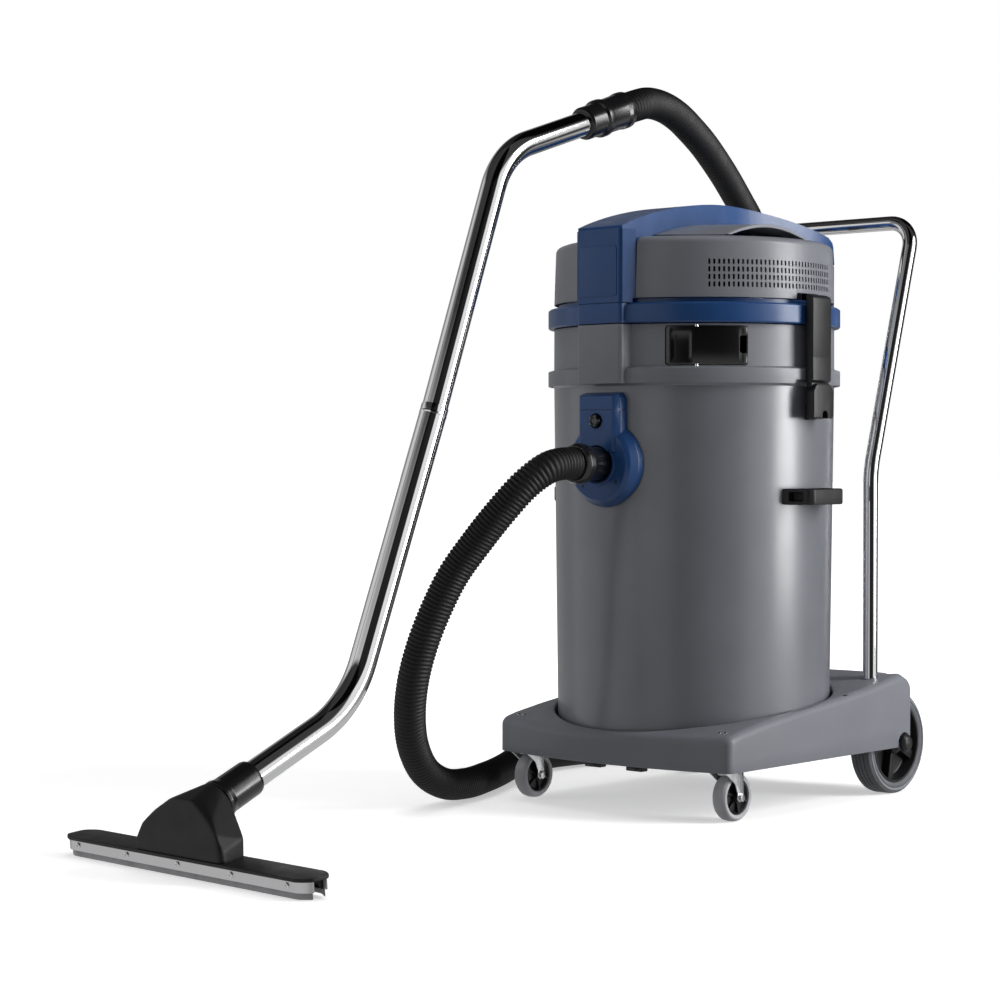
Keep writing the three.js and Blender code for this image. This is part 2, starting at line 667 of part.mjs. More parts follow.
function rearBlock() {
  const plan = common(planBlock(spinePlan(0), 799, 873.6, 8), box([-120, 229.5, 700], [120, 320, 900]));
  const hollow = box([-70, 233.5, 790], [70, 291, 869]);
  const glandHole = rod('y', [0, 0, 835], 280, 310, 9 + GAP, 9 + GAP, 16);
  return cut(plan, hollow, glandHole);
}

function cableGland() {
  const outline = [[4, 286], [9, 286], [9, 296.6], [14, 296.6], [14, 301], [8, 304], [6.5, 322], [4, 322]];
  return turnedAlong(outline, [0, 0, 835], new THREE.Vector3(0, 1, 0), 16);
}

function headBand() {
  const outline = [
    [205, BAND_LOW_Z], [RIM_RADIUS, BAND_LOW_Z], [RIM_RADIUS, BAND_TOP_Z], [218, BAND_TOP_Z],
    [218, COVER_LOW_Z - 0.4], [214.3, COVER_LOW_Z - 0.4], [214.3, 769.7], [205, 769.7],
  ];
  const edge = SPINE_HALF - 4;
  const bulge = polygon([
    [-SPINE_HALF - 8, -222], [-SPINE_HALF, -236], [-edge, SPINE_FRONT_Y], [edge, SPINE_FRONT_Y],
    [SPINE_HALF, -236], [SPINE_HALF + 8, -222],
  ]);
  return join(turned(outline), planBlock(bulge, BAND_LOW_Z, BAND_TOP_Z));
}

function coverHalf() {
  const outline = [
    [30, 893.5], [150, 890.5], [211, 886.5], [217, 880], [221, COVER_LOW_Z], [COVER_RADIUS, COVER_LOW_Z],
    [222, 880], [219, COVER_RIM_Z - 2.5], [212, COVER_RIM_Z + 1.5], [150, 894], [30, 897],
  ];
  const tub = box([100, -94, 864], [184, 94, 889]);
  const pocket = box([104, -90, 868], [180, 90, 940]);
  const latchNotch = box([205, -30, 780], [240, 30, 806]);
  const spineSpace = planBlock(spinePlan(GAP), 700, 1000, 8);
  const cheekSpace = box([-10, -260, 700], [55, -190, 1000]);
  const otherSide = box([-300, -300, 700], [0, 300, 1000]);
  return cut(join(turned(outline), tub), pocket, latchNotch, spineSpace, cheekSpace, otherSide);
}

// The arched hood over the finger pocket, wide and tall at the spine and narrower at its open lip.
function gripHood() {
  const arch = (halfSpan, low, top) => {
    const shape = new THREE.Shape();
    shape.moveTo(-halfSpan, low);
    shape.quadraticCurveTo(-halfSpan * 0.45, top, 0, top);
    shape.quadraticCurveTo(halfSpan * 0.45, top, halfSpan, low);
    return shape.getPoints(7);
  };
  const outer = arch(1, 0, 1);
  const inner = arch(0.955, 0, 0.8).reverse();
  const outline = new THREE.Shape([...outer, ...inner]);
  const geometry = new THREE.ExtrudeGeometry(outline, { depth: 1, bevelEnabled: false });
  geometry.applyMatrix4(SIDE_VIEW);
  const position = geometry.attributes.position;
  for (let i = 0; i < position.count; i += 1) {
    const along = position.getX(i);
    const halfSpan = THREE.MathUtils.lerp(160, 112, along);
    const low = THREE.MathUtils.lerp(897.4, 894.6, along);
    const height = THREE.MathUtils.lerp(25.6, 22.6, along);
    position.setXYZ(
      i,
      THREE.MathUtils.lerp(SPINE_HALF + 1, 153, along),
      position.getY(i) * halfSpan,
      low + position.getZ(i) * height,
    );
  }
  return cut(geometry, planBlock(spinePlan(GAP), 700, 1000, 8));
}

function motor() {
  const outline = [[0, 776], [64, 776], [64, 826], [52, 832], [52, 858], [0, 858]];
  return turned(outline, 24).translate(78, 0, 0);
}

function motorPlate() {
  const disc = rod('z', [0, 0, 0], 770, 775.7, 214, 214, DRUM_SIDES);
  const eyes = [-78, 78].map((x) => rod('z', [x, 0, 0], 760, 780, 22));
  return cut(disc, ...eyes);
}

function floatCage() {
  const outline = [[26, 588], [54, 588], [54, 769.6], [50, 769.6], [50, 592], [26, 592]];
  return turned(outline, 20);
}

function rockerSwitch() {
  return box([-11, -4, -15], [11, 5, 15]);
}

const SWITCH_CENTRE = [30, 287.8, 893.5];
const SWITCH_TILT = Math.atan2(15, 36.7);

function switchHole() {
  return box([-11.6, -14, -15.6], [11.6, 8, 15.6]).rotateX(SWITCH_TILT);
}

function buildHead(parent) {
  const [x, y, z] = SWITCH_CENTRE;
  const holes = [-1, 1].map((side) => switchHole().translate(side * x, y, z));
  add(parent, 'head_band', headBand(), bluePlastic);
  addPair(parent, 'head_cover', coverHalf, greyPlastic);
  addPair(parent, 'grip', gripHood, greyPlastic);
  add(parent, 'spine', cut(spineShell(), ...holes), bluePlastic);
  add(parent, 'rear_block', rearBlock(), greyPlastic);
  add(parent, 'cable_gland', cableGland(), blackPlastic);
  addPair(parent, 'switch', () => rockerSwitch().rotateX(SWITCH_TILT).translate(x, y, z), blackPlastic);
  add(parent, 'motor_plate', motorPlate(), blackPlastic);
  addPair(parent, 'motor', motor, motorMetal);
  add(parent, 'float_cage', floatCage(), blackPlastic);
  add(parent, 'float_ball', new THREE.SphereGeometry(38, 14, 8).translate(0, 0, 630.3), filterCloth);
}

// ---- Hose, wand and floor tool ------------------------------------------------------------------------------

// Corners of the wand's centreline in its own upright plane: [x, y, z, bend radius].
const WAND_FOOT = [0, 74, 114.8];
const WAND_LOW_BEND = [0, 271.4, 202.1, 165];
const WAND_JOINT = [0, 440, 624.5];
const WAND_HIGH_BEND = [0, 582.4, 1005.6, 120];
const WAND_TIP = [0, 794.5, 1075.3];
const WAND_CUFF_OVERLAP = 35;
const WAND_JOINT_GAP = 1;
const NECK_SETBACK = 49; // from the wand's foot back to the start of the squeegee's sleeve

function wandLower() {
  return tube(roundedStations([WAND_FOOT, WAND_LOW_BEND, WAND_JOINT], 6), 20, 18.6, 12);
}

function wandUpper() {
  const start = new THREE.Vector3(...WAND_JOINT);
  const run = new THREE.Vector3(...WAND_HIGH_BEND).sub(start).normalize();
  start.addScaledVector(run, WAND_JOINT_GAP);
  return tube(roundedStations([start.toArray(), WAND_HIGH_BEND, WAND_TIP], 6), 19, 17.6, 12);
}

function wandCuff() {
  const tip = new THREE.Vector3(...WAND_TIP);
  const direction = tip.clone().sub(new THREE.Vector3(...WAND_HIGH_BEND)).normalize();
  const outline = [
    [19 + GAP, 0], [24, 0], [26, 4], [26, 34], [29.5, 37], [29.5, 46], [27, 49], [28, 98], [19 + GAP, 98],
  ];
  const start = tip.addScaledVector(direction, -WAND_CUFF_OVERLAP);
  return turnedAlong(outline, start.toArray(), direction, 20);
}

// The squeegee's own space has its length along X, its front blade at -Y and its blades' lower edges at Z 0.
const PLATE_LOW_Z = 23;
const PLATE_TOP_Z = 28;
const TOOL_HALF = 262;
const TOOL_STRAIGHT = 238;
const TOOL_DEPTH = 26;
const TOOL_END = 10;
const BLADE_Y = 20.3;
const TOOL_LEAN = THREE.MathUtils.degToRad(5);
const TOOL_TWIST = THREE.MathUtils.degToRad(-1.67);

// Sets a geometry of the squeegee's space on the floor under the wand, leaning on its front blade.
function onFloor(geometry) {
  return geometry.translate(0, BLADE_Y, 0).rotateX(TOOL_LEAN).translate(0, -BLADE_Y, 0)
    .rotateZ(TOOL_TWIST).translate(-9, -5, 0);
}

// Half of the squeegee's contour at a distance in from the plate's edge, as [x, y] points from -X to +X.
function toolEdge(inset, side) {
  const straight = TOOL_STRAIGHT - inset * 0.3;
  const end = TOOL_HALF - inset;
  return [[-end, TOOL_END], [-straight, TOOL_DEPTH - inset], [straight, TOOL_DEPTH - inset], [end, TOOL_END]]
    .map(([x, y]) => [x, y * side]);
}

// A strip that follows the contour between two insets and two heights.
function contourStrip(outerInset, innerInset, side, low, high) {
  const outline = [...toolEdge(outerInset, side), ...toolEdge(innerInset, side).reverse()];
  return planBlock(polygon(outline), low, high);
}

function toolHood() {
  const neckAxis = new THREE.Vector3(0, Math.cos(WAND_TILT), Math.sin(WAND_TILT));
  const sideways = new THREE.Vector3(1, 0, 0);
  const upwards = new THREE.Vector3().crossVectors(sideways, neckAxis);
  const skirt = new ConvexGeometry([
    [-95, -24, PLATE_TOP_Z - 2], [95, -24, PLATE_TOP_Z - 2], [80, 25.5, PLATE_TOP_Z - 2],
    [-80, 25.5, PLATE_TOP_Z - 2], [-92, -24, 45], [92, -24, 45], [76, 28, 57], [-76, 28, 57],
    [-60, -10, 80], [60, -10, 80], [-38, 0, 95], [38, 0, 95], [-18, -8, 99], [18, -8, 99],
  ].map((point) => new THREE.Vector3(...point)));
  const middle = new THREE.Vector3(...WAND_FOOT).addScaledVector(neckAxis, -NECK_SETBACK);
  const ring = Array.from({ length: 16 }, (_, k) => middle.clone()
    .addScaledVector(sideways, 28 * Math.cos((2 * Math.PI * k) / 16))
    .addScaledVector(upwards, 28 * Math.sin((2 * Math.PI * k) / 16)));
  const placed = onFloor(skirt).getAttribute('position');
  const corners = Array.from({ length: placed.count }, (_, k) => (
    new THREE.Vector3().fromBufferAttribute(placed, k)));
  return new ConvexGeometry([...corners, ...ring]);
}

function nozzleBody() {
  const plate = planBlock(polygon([...toolEdge(0, -1), ...toolEdge(0, 1).reverse()]), PLATE_LOW_Z, PLATE_TOP_Z);
  const rails = [-1, 1].map((side) => contourStrip(8.4, 11.4, side, 9, PLATE_LOW_Z + 1));
  const channel = box([-235, -14, 0], [235, 14, PLATE_TOP_Z - 3]);
  const base = cut(join(plate, ...rails), channel);
  const throat = new ConvexGeometry([
    ...[-60, 60].flatMap((x) => [-12, 12].map((y) => new THREE.Vector3(x - 9, y - 5, 20))),
    ...[-60, 60].flatMap((x) => [-12, 12].map((y) => new THREE.Vector3(x - 9, y - 5, 34))),
    ...[-14, 14].map((x) => new THREE.Vector3(x, 18, 82)),
    ...[-14, 14].map((x) => new THREE.Vector3(x, 26, 74)),
  ]);
  return cut(join(onFloor(base), toolHood()), throat);
}

function nozzleNeck() {
  const direction = new THREE.Vector3(0, Math.cos(WAND_TILT), Math.sin(WAND_TILT));
  const foot = new THREE.Vector3(...WAND_FOOT).addScaledVector(direction, -NECK_SETBACK);
  const outline = [
    [17, 0.8], [27.5, 0.8], [27.5, 6], [25, 16], [24.5, 63], [22.5, 66], [20 + GAP, 66], [20 + GAP, 48.6],
    [17, 48.6],
  ];
  return turnedAlong(outline, foot.toArray(), direction, 24);
}

function clampStrip(side) {
  return onFloor(contourStrip(2.6, 5.4, side, 9, PLATE_LOW_Z - GAP));
}

function toolBlade(side) {
  return onFloor(contourStrip(5.9, 7.9, side, 0, PLATE_LOW_Z - GAP));
}

function buildTool(parent) {
  const tool = new THREE.Group();
  tool.position.set(TOOL_ORIGIN[0], TOOL_ORIGIN[1], 0);
  tool.rotation.z = TOOL_YAW;
  parent.add(tool);
  add(tool, 'wand_lower', wandLower(), chrome);
  add(tool, 'wand_upper', wandUpper(), chrome);
  add(tool, 'nozzle_neck', nozzleNeck(), blackPlastic);
  add(tool, 'nozzle_body', nozzleBody(), blackPlastic);
  for (const [name, side] of [['front', -1], ['rear', 1]]) {
    add(tool, `clamp_strip_${name}`, clampStrip(side), brushedSteel);
    add(tool, `tool_blade_${name}`, toolBlade(side), greyRubber);
  }
  cordParts.add(add(tool, 'hose_cuff_wand', wandCuff(), blackPlastic));
}

function buildHose(parent) {
  const points = HOSE_ROUTE.map((point) => new THREE.Vector3(...point));
  const route = new THREE.CatmullRomCurve3(points, false, 'centripetal');
  const options = { extrudePath: route, steps: 64 };
  const hose = new THREE.ExtrudeGeometry(ringShape(HOSE_RADIUS, HOSE_RADIUS - 3, 8), options);
  cordParts.add(add(parent, 'hose', hose, blackPlastic));
}

// ---- Whole machine ------------------------------------------------------------------------------------------

buildTrolley(machine);
buildTank(machine);
addPair(machine, 'latch_strap', latchStrap, blackPlastic);
addPair(machine, 'latch_lever', latchLever, blackPlastic);
buildCollar(machine);
buildHead(machine);
buildTool(machine);
buildHose(machine);

// The origin is the middle of the bottom of the machine and its floor tool, without the hose and its cuff.
machine.updateMatrixWorld(true);
const bounds = new THREE.Box3();
machine.traverse((piece) => {
  if (piece.isMesh && !cordParts.has(piece)) bounds.expandByObject(piece, true);
});
const middle = bounds.getCenter(new THREE.Vector3());
machine.position.set(-middle.x, -middle.y, -bounds.min.z);

export default machine;
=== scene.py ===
"""The looks of a wet and dry shop vacuum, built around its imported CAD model.

Shapes are worked out in millimetres from the drum's axis, as (x, y, z) with the inlet at -Y, and placed in the
row frame in metres when each piece is made.
"""

import math

import bmesh
import bpy
import numpy as np
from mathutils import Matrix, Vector


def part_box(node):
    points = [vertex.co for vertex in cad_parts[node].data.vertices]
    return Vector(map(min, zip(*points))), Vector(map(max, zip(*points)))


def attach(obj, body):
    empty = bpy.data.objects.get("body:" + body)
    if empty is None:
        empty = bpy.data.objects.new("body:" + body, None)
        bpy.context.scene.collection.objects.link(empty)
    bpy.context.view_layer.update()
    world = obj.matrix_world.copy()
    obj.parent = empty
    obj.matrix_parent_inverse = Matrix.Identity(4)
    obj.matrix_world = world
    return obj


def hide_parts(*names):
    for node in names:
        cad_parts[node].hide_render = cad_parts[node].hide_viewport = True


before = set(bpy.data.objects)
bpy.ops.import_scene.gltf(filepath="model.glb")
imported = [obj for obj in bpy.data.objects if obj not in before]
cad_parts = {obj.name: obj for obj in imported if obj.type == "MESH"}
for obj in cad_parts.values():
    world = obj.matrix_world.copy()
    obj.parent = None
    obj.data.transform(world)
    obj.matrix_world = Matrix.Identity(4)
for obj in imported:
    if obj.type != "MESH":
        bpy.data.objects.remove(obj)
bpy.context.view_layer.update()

MM = 0.001
tank_low, tank_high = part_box("tank")
AXIS = np.array([(tank_low.x + tank_high.x) / 2, (tank_low.y + tank_high.y) / 2, 0.0])

# ---- Driving dimensions, in millimetres --------------------------------------------------------------------

TANK_RADIUS = 225.0
TANK_FOOT_RADIUS = 218.0
RIM_RADIUS = 234.5
SPINE_HALF = 44.0
SPINE_FRONT_Y = -241.6
BASE_HALF = 231.0
BASE_REAR_Y = 293.5
BASE_LOW_Z = 78.0
SEAT_RADIUS = 224.0
CASTER = (199.5, -164.0, 37.5)
CASTER_STEM_Y = -186.0
WHEEL = (198.0, 266.0, 84.0)
INLET_Z = 542.0
BUTTON_Z = 608.0
CORE = 0.01  # radius of the hair-thin hole along the axis of a turned solid
TOOL_ORIGIN = (-38.0, -1020.0)
TOOL_YAW = math.radians(-1.5)
WAND_TILT = math.radians(23.85)
HOSE_PITCH = 6.5

HOSE_ROUTE = [
    (0, -292.3, 542), (0, -328, 542), (-3, -360, 535), (-22, -388, 510), (-54, -409, 468), (-90, -425, 420),
    (-120, -440, 374), (-142, -452, 326), (-163, -462, 270), (-182, -464, 212), (-201, -452, 155),
    (-219, -426, 104), (-234, -384, 60), (-248, -323, 33), (-262, -257, 26), (-290, -180, 26),
    (-322, -113, 26), (-350, -62, 26), (-384, -2, 26), (-406, 66, 26), (-412, 140, 26), (-402, 216, 26),
    (-374, 288, 26), (-328, 350, 27), (-276, 396, 38), (-232, 422, 72), (-202, 434, 132), (-188, 438, 210),
    (-180, 438, 330), (-178, 437, 480), (-177, 436, 640), (-177, 434, 760), (-177, 430, 845), (-176, 421, 906),
    (-174.5, 408, 946), (-172.5, 387, 975), (-168.5, 357, 999), (-159, 321, 1020), (-145, 278, 1040),
    (-124, 220, 1061), (-101, 158, 1080), (-77, 90, 1097), (-54, 24, 1110), (-35, -40, 1116.5),
    (-21, -96, 1114.5), (-14.7, -132.5, 1106), (-15.6, -165.7, 1095.1),
]

WAND_FOOT = (0, 74, 114.8)
WAND_LOW_BEND = (0, 271.4, 202.1, 165)
WAND_JOINT = (0, 440, 624.5)
WAND_HIGH_BEND = (0, 582.4, 1005.6, 120)
WAND_TIP = (0, 794.5, 1075.3)

SQUEEGEE_HALF = 262.0
SQUEEGEE_STRAIGHT = 238.0
SQUEEGEE_DEPTH = 26.0
SQUEEGEE_END = 10.0
PLATE_LOW_Z = 23.0
PLATE_TOP_Z = 28.0
BLADE_Y = 20.3
SQUEEGEE_LEAN = math.radians(5)
SQUEEGEE_TWIST = math.radians(-1.67)
SQUEEGEE_PLACE = (-9.0, -5.0)
WAND_DIRECTION = np.array([0, math.cos(WAND_TILT), math.sin(WAND_TILT)])
NECK_FOOT = np.array(WAND_FOOT) - WAND_DIRECTION * 49.0

# Bands round the horizon that glossy faces reflect: (share of a turn, brightness).
GLOSS_BANDS = [
    (0.0, 0.3), (0.018, 0.3), (0.024, 0.7), (0.12, 0.7), (0.128, 0.3), (0.14, 0.3), (0.148, 0.75),
    (0.298, 0.75), (0.312, 0.02), (0.468, 0.02), (0.482, 0.95), (0.628, 0.8), (0.642, 0.03), (0.85, 0.03),
    (0.87, 0.3), (1.0, 0.3),
]

CAMERA_PLACE = (2.415, -3.162, 0.554)
CAMERA_LENS = 88.3
CAMERA_DROP = math.radians(1.03)
CAMERA_HEADING = math.radians(41.88)

# ---- Outlines and solids -----------------------------------------------------------------------------------
# A solid is (vertices, faces), with its vertices in millimetres.


def rounded(corners, steps=5):
    """A closed outline through (x, y, radius) corners, with an arc of that radius at each."""
    points = []
    count = len(corners)
    for i, (x, y, radius) in enumerate(corners):
        here = Vector((x, y))
        before = Vector(corners[i - 1][:2])
        after = Vector(corners[(i + 1) % count][:2])
        if radius <= 0:
            points.append((x, y))
            continue
        to_before = (before - here).normalized()
        to_after = (after - here).normalized()
        half = to_before.angle(to_after) / 2
        reach = radius / math.tan(half)
        centre = here + (to_before + to_after).normalized() * (radius / math.sin(half))
        start = here + to_before * reach - centre
        turn = to_before.angle_signed(to_after)
        sweep = math.copysign(math.pi - abs(turn), -turn)
        for k in range(steps + 1):
            angle = -sweep * k / steps
            c, s = math.cos(angle), math.sin(angle)
            points.append((centre.x + c * start.x - s * start.y, centre.y + s * start.x + c * start.y))
    return points


def bezier(a, b, c, d, steps):
    """Points along a cubic curve, without its first one."""
    a, b, c, d = (np.array(p, float) for p in (a, b, c, d))
    t = np.linspace(0, 1, steps + 1)[1:, None]
    points = a * (1 - t) ** 3 + 3 * b * t * (1 - t) ** 2 + 3 * c * t**2 * (1 - t) + d * t**3
    return [tuple(p) for p in points]


def inset(outline, distance):
    """A closed outline moved inwards by a distance."""
    points = np.array(outline, float)
    edges = np.roll(points, -1, axis=0) - points
    area = np.sum(points[:, 0] * np.roll(points[:, 1], -1) - np.roll(points[:, 0], -1) * points[:, 1])
    normals = np.column_stack((-edges[:, 1], edges[:, 0])) * np.sign(area)
    normals /= np.maximum(np.linalg.norm(normals, axis=1), 1e-9)[:, None]
    before = np.roll(normals, 1, axis=0)
    mean = normals + before
    mean /= np.maximum(np.sum(mean * normals, axis=1), 1e-6)[:, None]
    return points + mean * distance


def loft(rings, wrap_rings=False):
    """The skin through rings of points, closed by flat caps unless it closes on itself."""
    rings = np.asarray(rings, float)
    count, size = rings.shape[:2]
    faces = []
    for i in range(count if wrap_rings else count - 1):
        j = (i + 1) % count
        for k in range(size):
            m = (k + 1) % size
            faces.append((i * size + k, i * size + m, j * size + m, j * size + k))
    if not wrap_rings:
        faces.append(tuple(range(size)))
        faces.append(tuple(range((count - 1) * size, count * size)))
    return rings.reshape(-1, 3), faces


def turned(outline, sides=160):
    """A closed outline of (radius, z) points turned about the Z axis."""
    outline = np.array(outline, float)
    rings = []
    for angle in np.linspace(0, 2 * math.pi, sides, endpoint=False):
        radius = outline[:, 0]
        rings.append(np.column_stack((radius * math.cos(angle), radius * math.sin(angle), outline[:, 1])))
    return loft(rings, wrap_rings=True)


def cylinder(radius, low, high, sides):
    return turned([(CORE, low), (radius, low), (radius, high), (CORE, high)], sides)


def prism(outline, low, high, axis="z", soft=0.0, steps=3):
    """An outline extruded along an axis, with its end edges rounded by a radius."""
    stations = [(low, 0.0), (high, 0.0)]
    if soft > 0:
        angles = np.linspace(0, math.pi / 2, steps + 1)
        foot = [(low + soft * (1 - math.sin(a)), soft * (1 - math.cos(a))) for a in angles[::-1]]
        head = [(high - soft * (1 - math.sin(a)), soft * (1 - math.cos(a))) for a in angles]
        stations = foot + head
    rings = []
    for along, depth in stations:
        columns = list(inset(outline, depth).T)
        columns.insert("xyz".index(axis), np.full(len(outline), along))
        rings.append(np.column_stack(columns))
    return loft(rings)


def block(low, high, soft=0.0):
    """A box between two corners, with rounded edges."""
    corners = [(low[0], low[1]), (high[0], low[1]), (high[0], high[1]), (low[0], high[1])]
    outline = rounded([(x, y, soft) for x, y in corners]) if soft else corners
    return prism(outline, low[2], high[2], "z", soft)


def moved(solid, shift):
    return solid[0] + np.array(shift, float), solid[1]


def mirrored(solid):
    return solid[0] * np.array([-1.0, 1.0, 1.0]), solid[1]


def on_line(solid, start, direction):
    """A solid made about the Z axis, set on a line that starts at a point."""
    turn = Vector((0, 0, 1)).rotation_difference(Vector(direction)).to_matrix()
    return solid[0] @ np.array(turn).T + np.array(start, float), solid[1]


def facing_front(solid, height):
    """A solid made about the Z axis, set on the line from the drum's axis out through its front."""
    return on_line(solid, (0, 0, height), (0, -1, 0))


def rolled(solid, angle, shift):
    """A solid turned about the X axis and then moved."""
    x, y, z = solid[0].T
    c, s = math.cos(angle), math.sin(angle)
    return np.column_stack((x, c * y - s * z, s * y + c * z)) + np.array(shift, float), solid[1]


def in_tool(solid):
    """A solid of the floor tool's own space, set in the drum's."""
    c, s = math.cos(TOOL_YAW), math.sin(TOOL_YAW)
    x, y, z = np.asarray(solid[0], float).T
    placed = np.column_stack((TOOL_ORIGIN[0] + c * x - s * y, TOOL_ORIGIN[1] + s * x + c * y, z))
    return placed, solid[1]


def on_floor(solid):
    """A solid of the squeegee's own space, leaning on its front blade under the wand."""
    x, y, z = np.asarray(solid[0], float).T
    c, s = math.cos(SQUEEGEE_LEAN), math.sin(SQUEEGEE_LEAN)
    y, z = c * (y + BLADE_Y) - s * z - BLADE_Y, s * (y + BLADE_Y) + c * z
    c, s = math.cos(SQUEEGEE_TWIST), math.sin(SQUEEGEE_TWIST)
    x, y = c * x - s * y + SQUEEGEE_PLACE[0], s * x + c * y + SQUEEGEE_PLACE[1]
    return in_tool((np.column_stack((x, y, z)), solid[1]))


def hull(points):
    """The convex skin around points."""
    work = bmesh.new()
    for point in points:
        work.verts.new(point)
    result = bmesh.ops.convex_hull(work, input=work.verts)
    spare = {g for g in result["geom_interior"] + result["geom_unused"] if isinstance(g, bmesh.types.BMVert)}
    bmesh.ops.delete(work, geom=list(spare), context="VERTS")
    bmesh.ops.dissolve_limit(work, angle_limit=math.radians(1), verts=work.verts, edges=work.edges)
    work.verts.index_update()
    solid = np.array([v.co for v in work.verts]), [tuple(v.index for v in f.verts) for f in work.faces]
    work.free()
    return solid


def gathered(*solids):
    """Several solids as one."""
    vertices, faces, start = [], [], 0
    for points, polygons in solids:
        vertices.append(points)
        faces += [tuple(start + i for i in polygon) for polygon in polygons]
        start += len(points)
    return np.concatenate(vertices), faces


def mesh_of(solid, scale=1.0, shift=(0, 0, 0)):
    """A Blender mesh of a solid, with doubled points merged and faces turned outwards."""
    mesh = bpy.data.meshes.new("solid")
    points = np.asarray(solid[0], float) * scale + np.array(shift)
    mesh.from_pydata(points.tolist(), [], solid[1])
    work = bmesh.new()
    work.from_mesh(mesh)
    bmesh.ops.remove_doubles(work, verts=work.verts, dist=1e-3 * scale)
    bmesh.ops.dissolve_degenerate(work, edges=work.edges, dist=1e-4 * scale)
    bmesh.ops.recalc_face_normals(work, faces=work.faces)
    work.to_mesh(mesh)
    work.free()
    return mesh


def temporary(solid):
    thing = bpy.data.objects.new("temporary", mesh_of(solid))
    bpy.context.scene.collection.objects.link(thing)
    return thing


def solid_of(thing):
    """The solid that an object's modifiers leave, after which the object is removed."""
    bpy.context.view_layer.update()
    shown = thing.evaluated_get(bpy.context.evaluated_depsgraph_get())
    mesh = bpy.data.meshes.new_from_object(shown)
    points = np.array([v.co for v in mesh.vertices], float)
    faces = [tuple(p.vertices) for p in mesh.polygons]
    bpy.data.meshes.remove(mesh)
    bpy.data.objects.remove(thing)
    return points, faces


def boolean(operation, solid, *others):
    """A solid cut by, joined to, or kept inside others: DIFFERENCE, UNION or INTERSECT."""
    thing = temporary(solid)
    tools = [temporary(other) for other in others]
    for tool in tools:
        modifier = thing.modifiers.new("boolean", "BOOLEAN")
        modifier.operation = operation
        modifier.solver = "MANIFOLD"
        modifier.object = tool
    result = solid_of(thing)
    for tool in tools:
        bpy.data.objects.remove(tool)
    return result


def cut(solid, *others):
    return boolean("DIFFERENCE", solid, *others)


def join(solid, *others):
    return boolean("UNION", solid, *others)


def softened(solid, width, segments=3, angle=35.0):
    """A solid with its sharp edges rounded."""
    thing = temporary(solid)
    modifier = thing.modifiers.new("bevel", "BEVEL")
    modifier.width = width
    modifier.segments = segments
    modifier.limit_method = "ANGLE"
    modifier.angle_limit = math.radians(angle)
    modifier.use_clamp_overlap = True
    return solid_of(thing)


def melted(solid, size, rounds):
    """A solid in an even mesh of a cell size, smoothed until its edges are soft."""
    thing = temporary(solid)
    remesh = thing.modifiers.new("remesh", "REMESH")
    remesh.mode = "VOXEL"
    remesh.voxel_size = size
    smooth = thing.modifiers.new("smooth", "SMOOTH")
    smooth.factor = 0.5
    smooth.iterations = rounds
    return solid_of(thing)


def catmull_rom(points, spacing):
    """A smooth centripetal curve through points, resampled at an even spacing."""
    p = np.array(points, float)
    p = np.vstack((2 * p[0] - p[1], p, 2 * p[-1] - p[-2]))
    dense = []
    for i in range(1, len(p) - 2):
        p0, p1, p2, p3 = p[i - 1 : i + 3]
        d0, d1, d2 = (math.sqrt(np.linalg.norm(b - a)) for a, b in ((p0, p1), (p1, p2), (p2, p3)))
        m1 = ((p1 - p0) / d0 - (p2 - p0) / (d0 + d1) + (p2 - p1) / d1) * d1
        m2 = ((p2 - p1) / d1 - (p3 - p1) / (d1 + d2) + (p3 - p2) / d2) * d1
        for t in np.linspace(0, 1, 24, endpoint=False):
            a, b = 2 * p1 - 2 * p2 + m1 + m2, -3 * p1 + 3 * p2 - 2 * m1 - m2
            dense.append(a * t**3 + b * t**2 + m1 * t + p1)
    dense = np.array(dense + [p[-2]])
    along = np.concatenate(([0], np.cumsum(np.linalg.norm(np.diff(dense, axis=0), axis=1))))
    even = np.linspace(0, along[-1], max(2, round(along[-1] / spacing) + 1))
    return np.column_stack([np.interp(even, along, dense[:, k]) for k in range(3)])


def bent(corners, steps=14):
    """Points along straight runs joined by arcs at (x, y, z, radius) corners."""
    points = [Vector(corner[:3]) for corner in corners]
    path = [points[0]]
    for i in range(1, len(points) - 1):
        arriving = (points[i] - points[i - 1]).normalized()
        leaving = (points[i + 1] - points[i]).normalized()
        turn = arriving.angle(leaving)
        radius = corners[i][3]
        start = points[i] - arriving * radius * math.tan(turn / 2)
        inward = (leaving - arriving * leaving.dot(arriving)).normalized()
        for k in range(steps + 1):
            angle = turn * k / steps
            path.append(start + arriving * radius * math.sin(angle) + inward * radius * (1 - math.cos(angle)))
    return np.array([list(p) for p in path + [points[-1]]])


def swept(path, radii, sides=32):
    """A tube along a path, with a radius at each of its points."""
    path = np.array(path, float)
    tangents = np.gradient(path, axis=0)
    tangents /= np.linalg.norm(tangents, axis=1)[:, None]
    normal = Vector(tangents[0]).orthogonal().normalized()
    angles = np.linspace(0, 2 * math.pi, sides, endpoint=False)
    rings = []
    for centre, tangent, radius in zip(path, tangents, np.broadcast_to(radii, len(path))):
        tangent = Vector(tangent)
        normal = (normal - tangent * normal.dot(tangent)).normalized()
        side = tangent.cross(normal)
        ring = np.outer(np.cos(angles), normal) + np.outer(np.sin(angles), side)
        rings.append(centre + radius * ring)
    return loft(rings)


# ---- Materials ---------------------------------------------------------------------------------------------


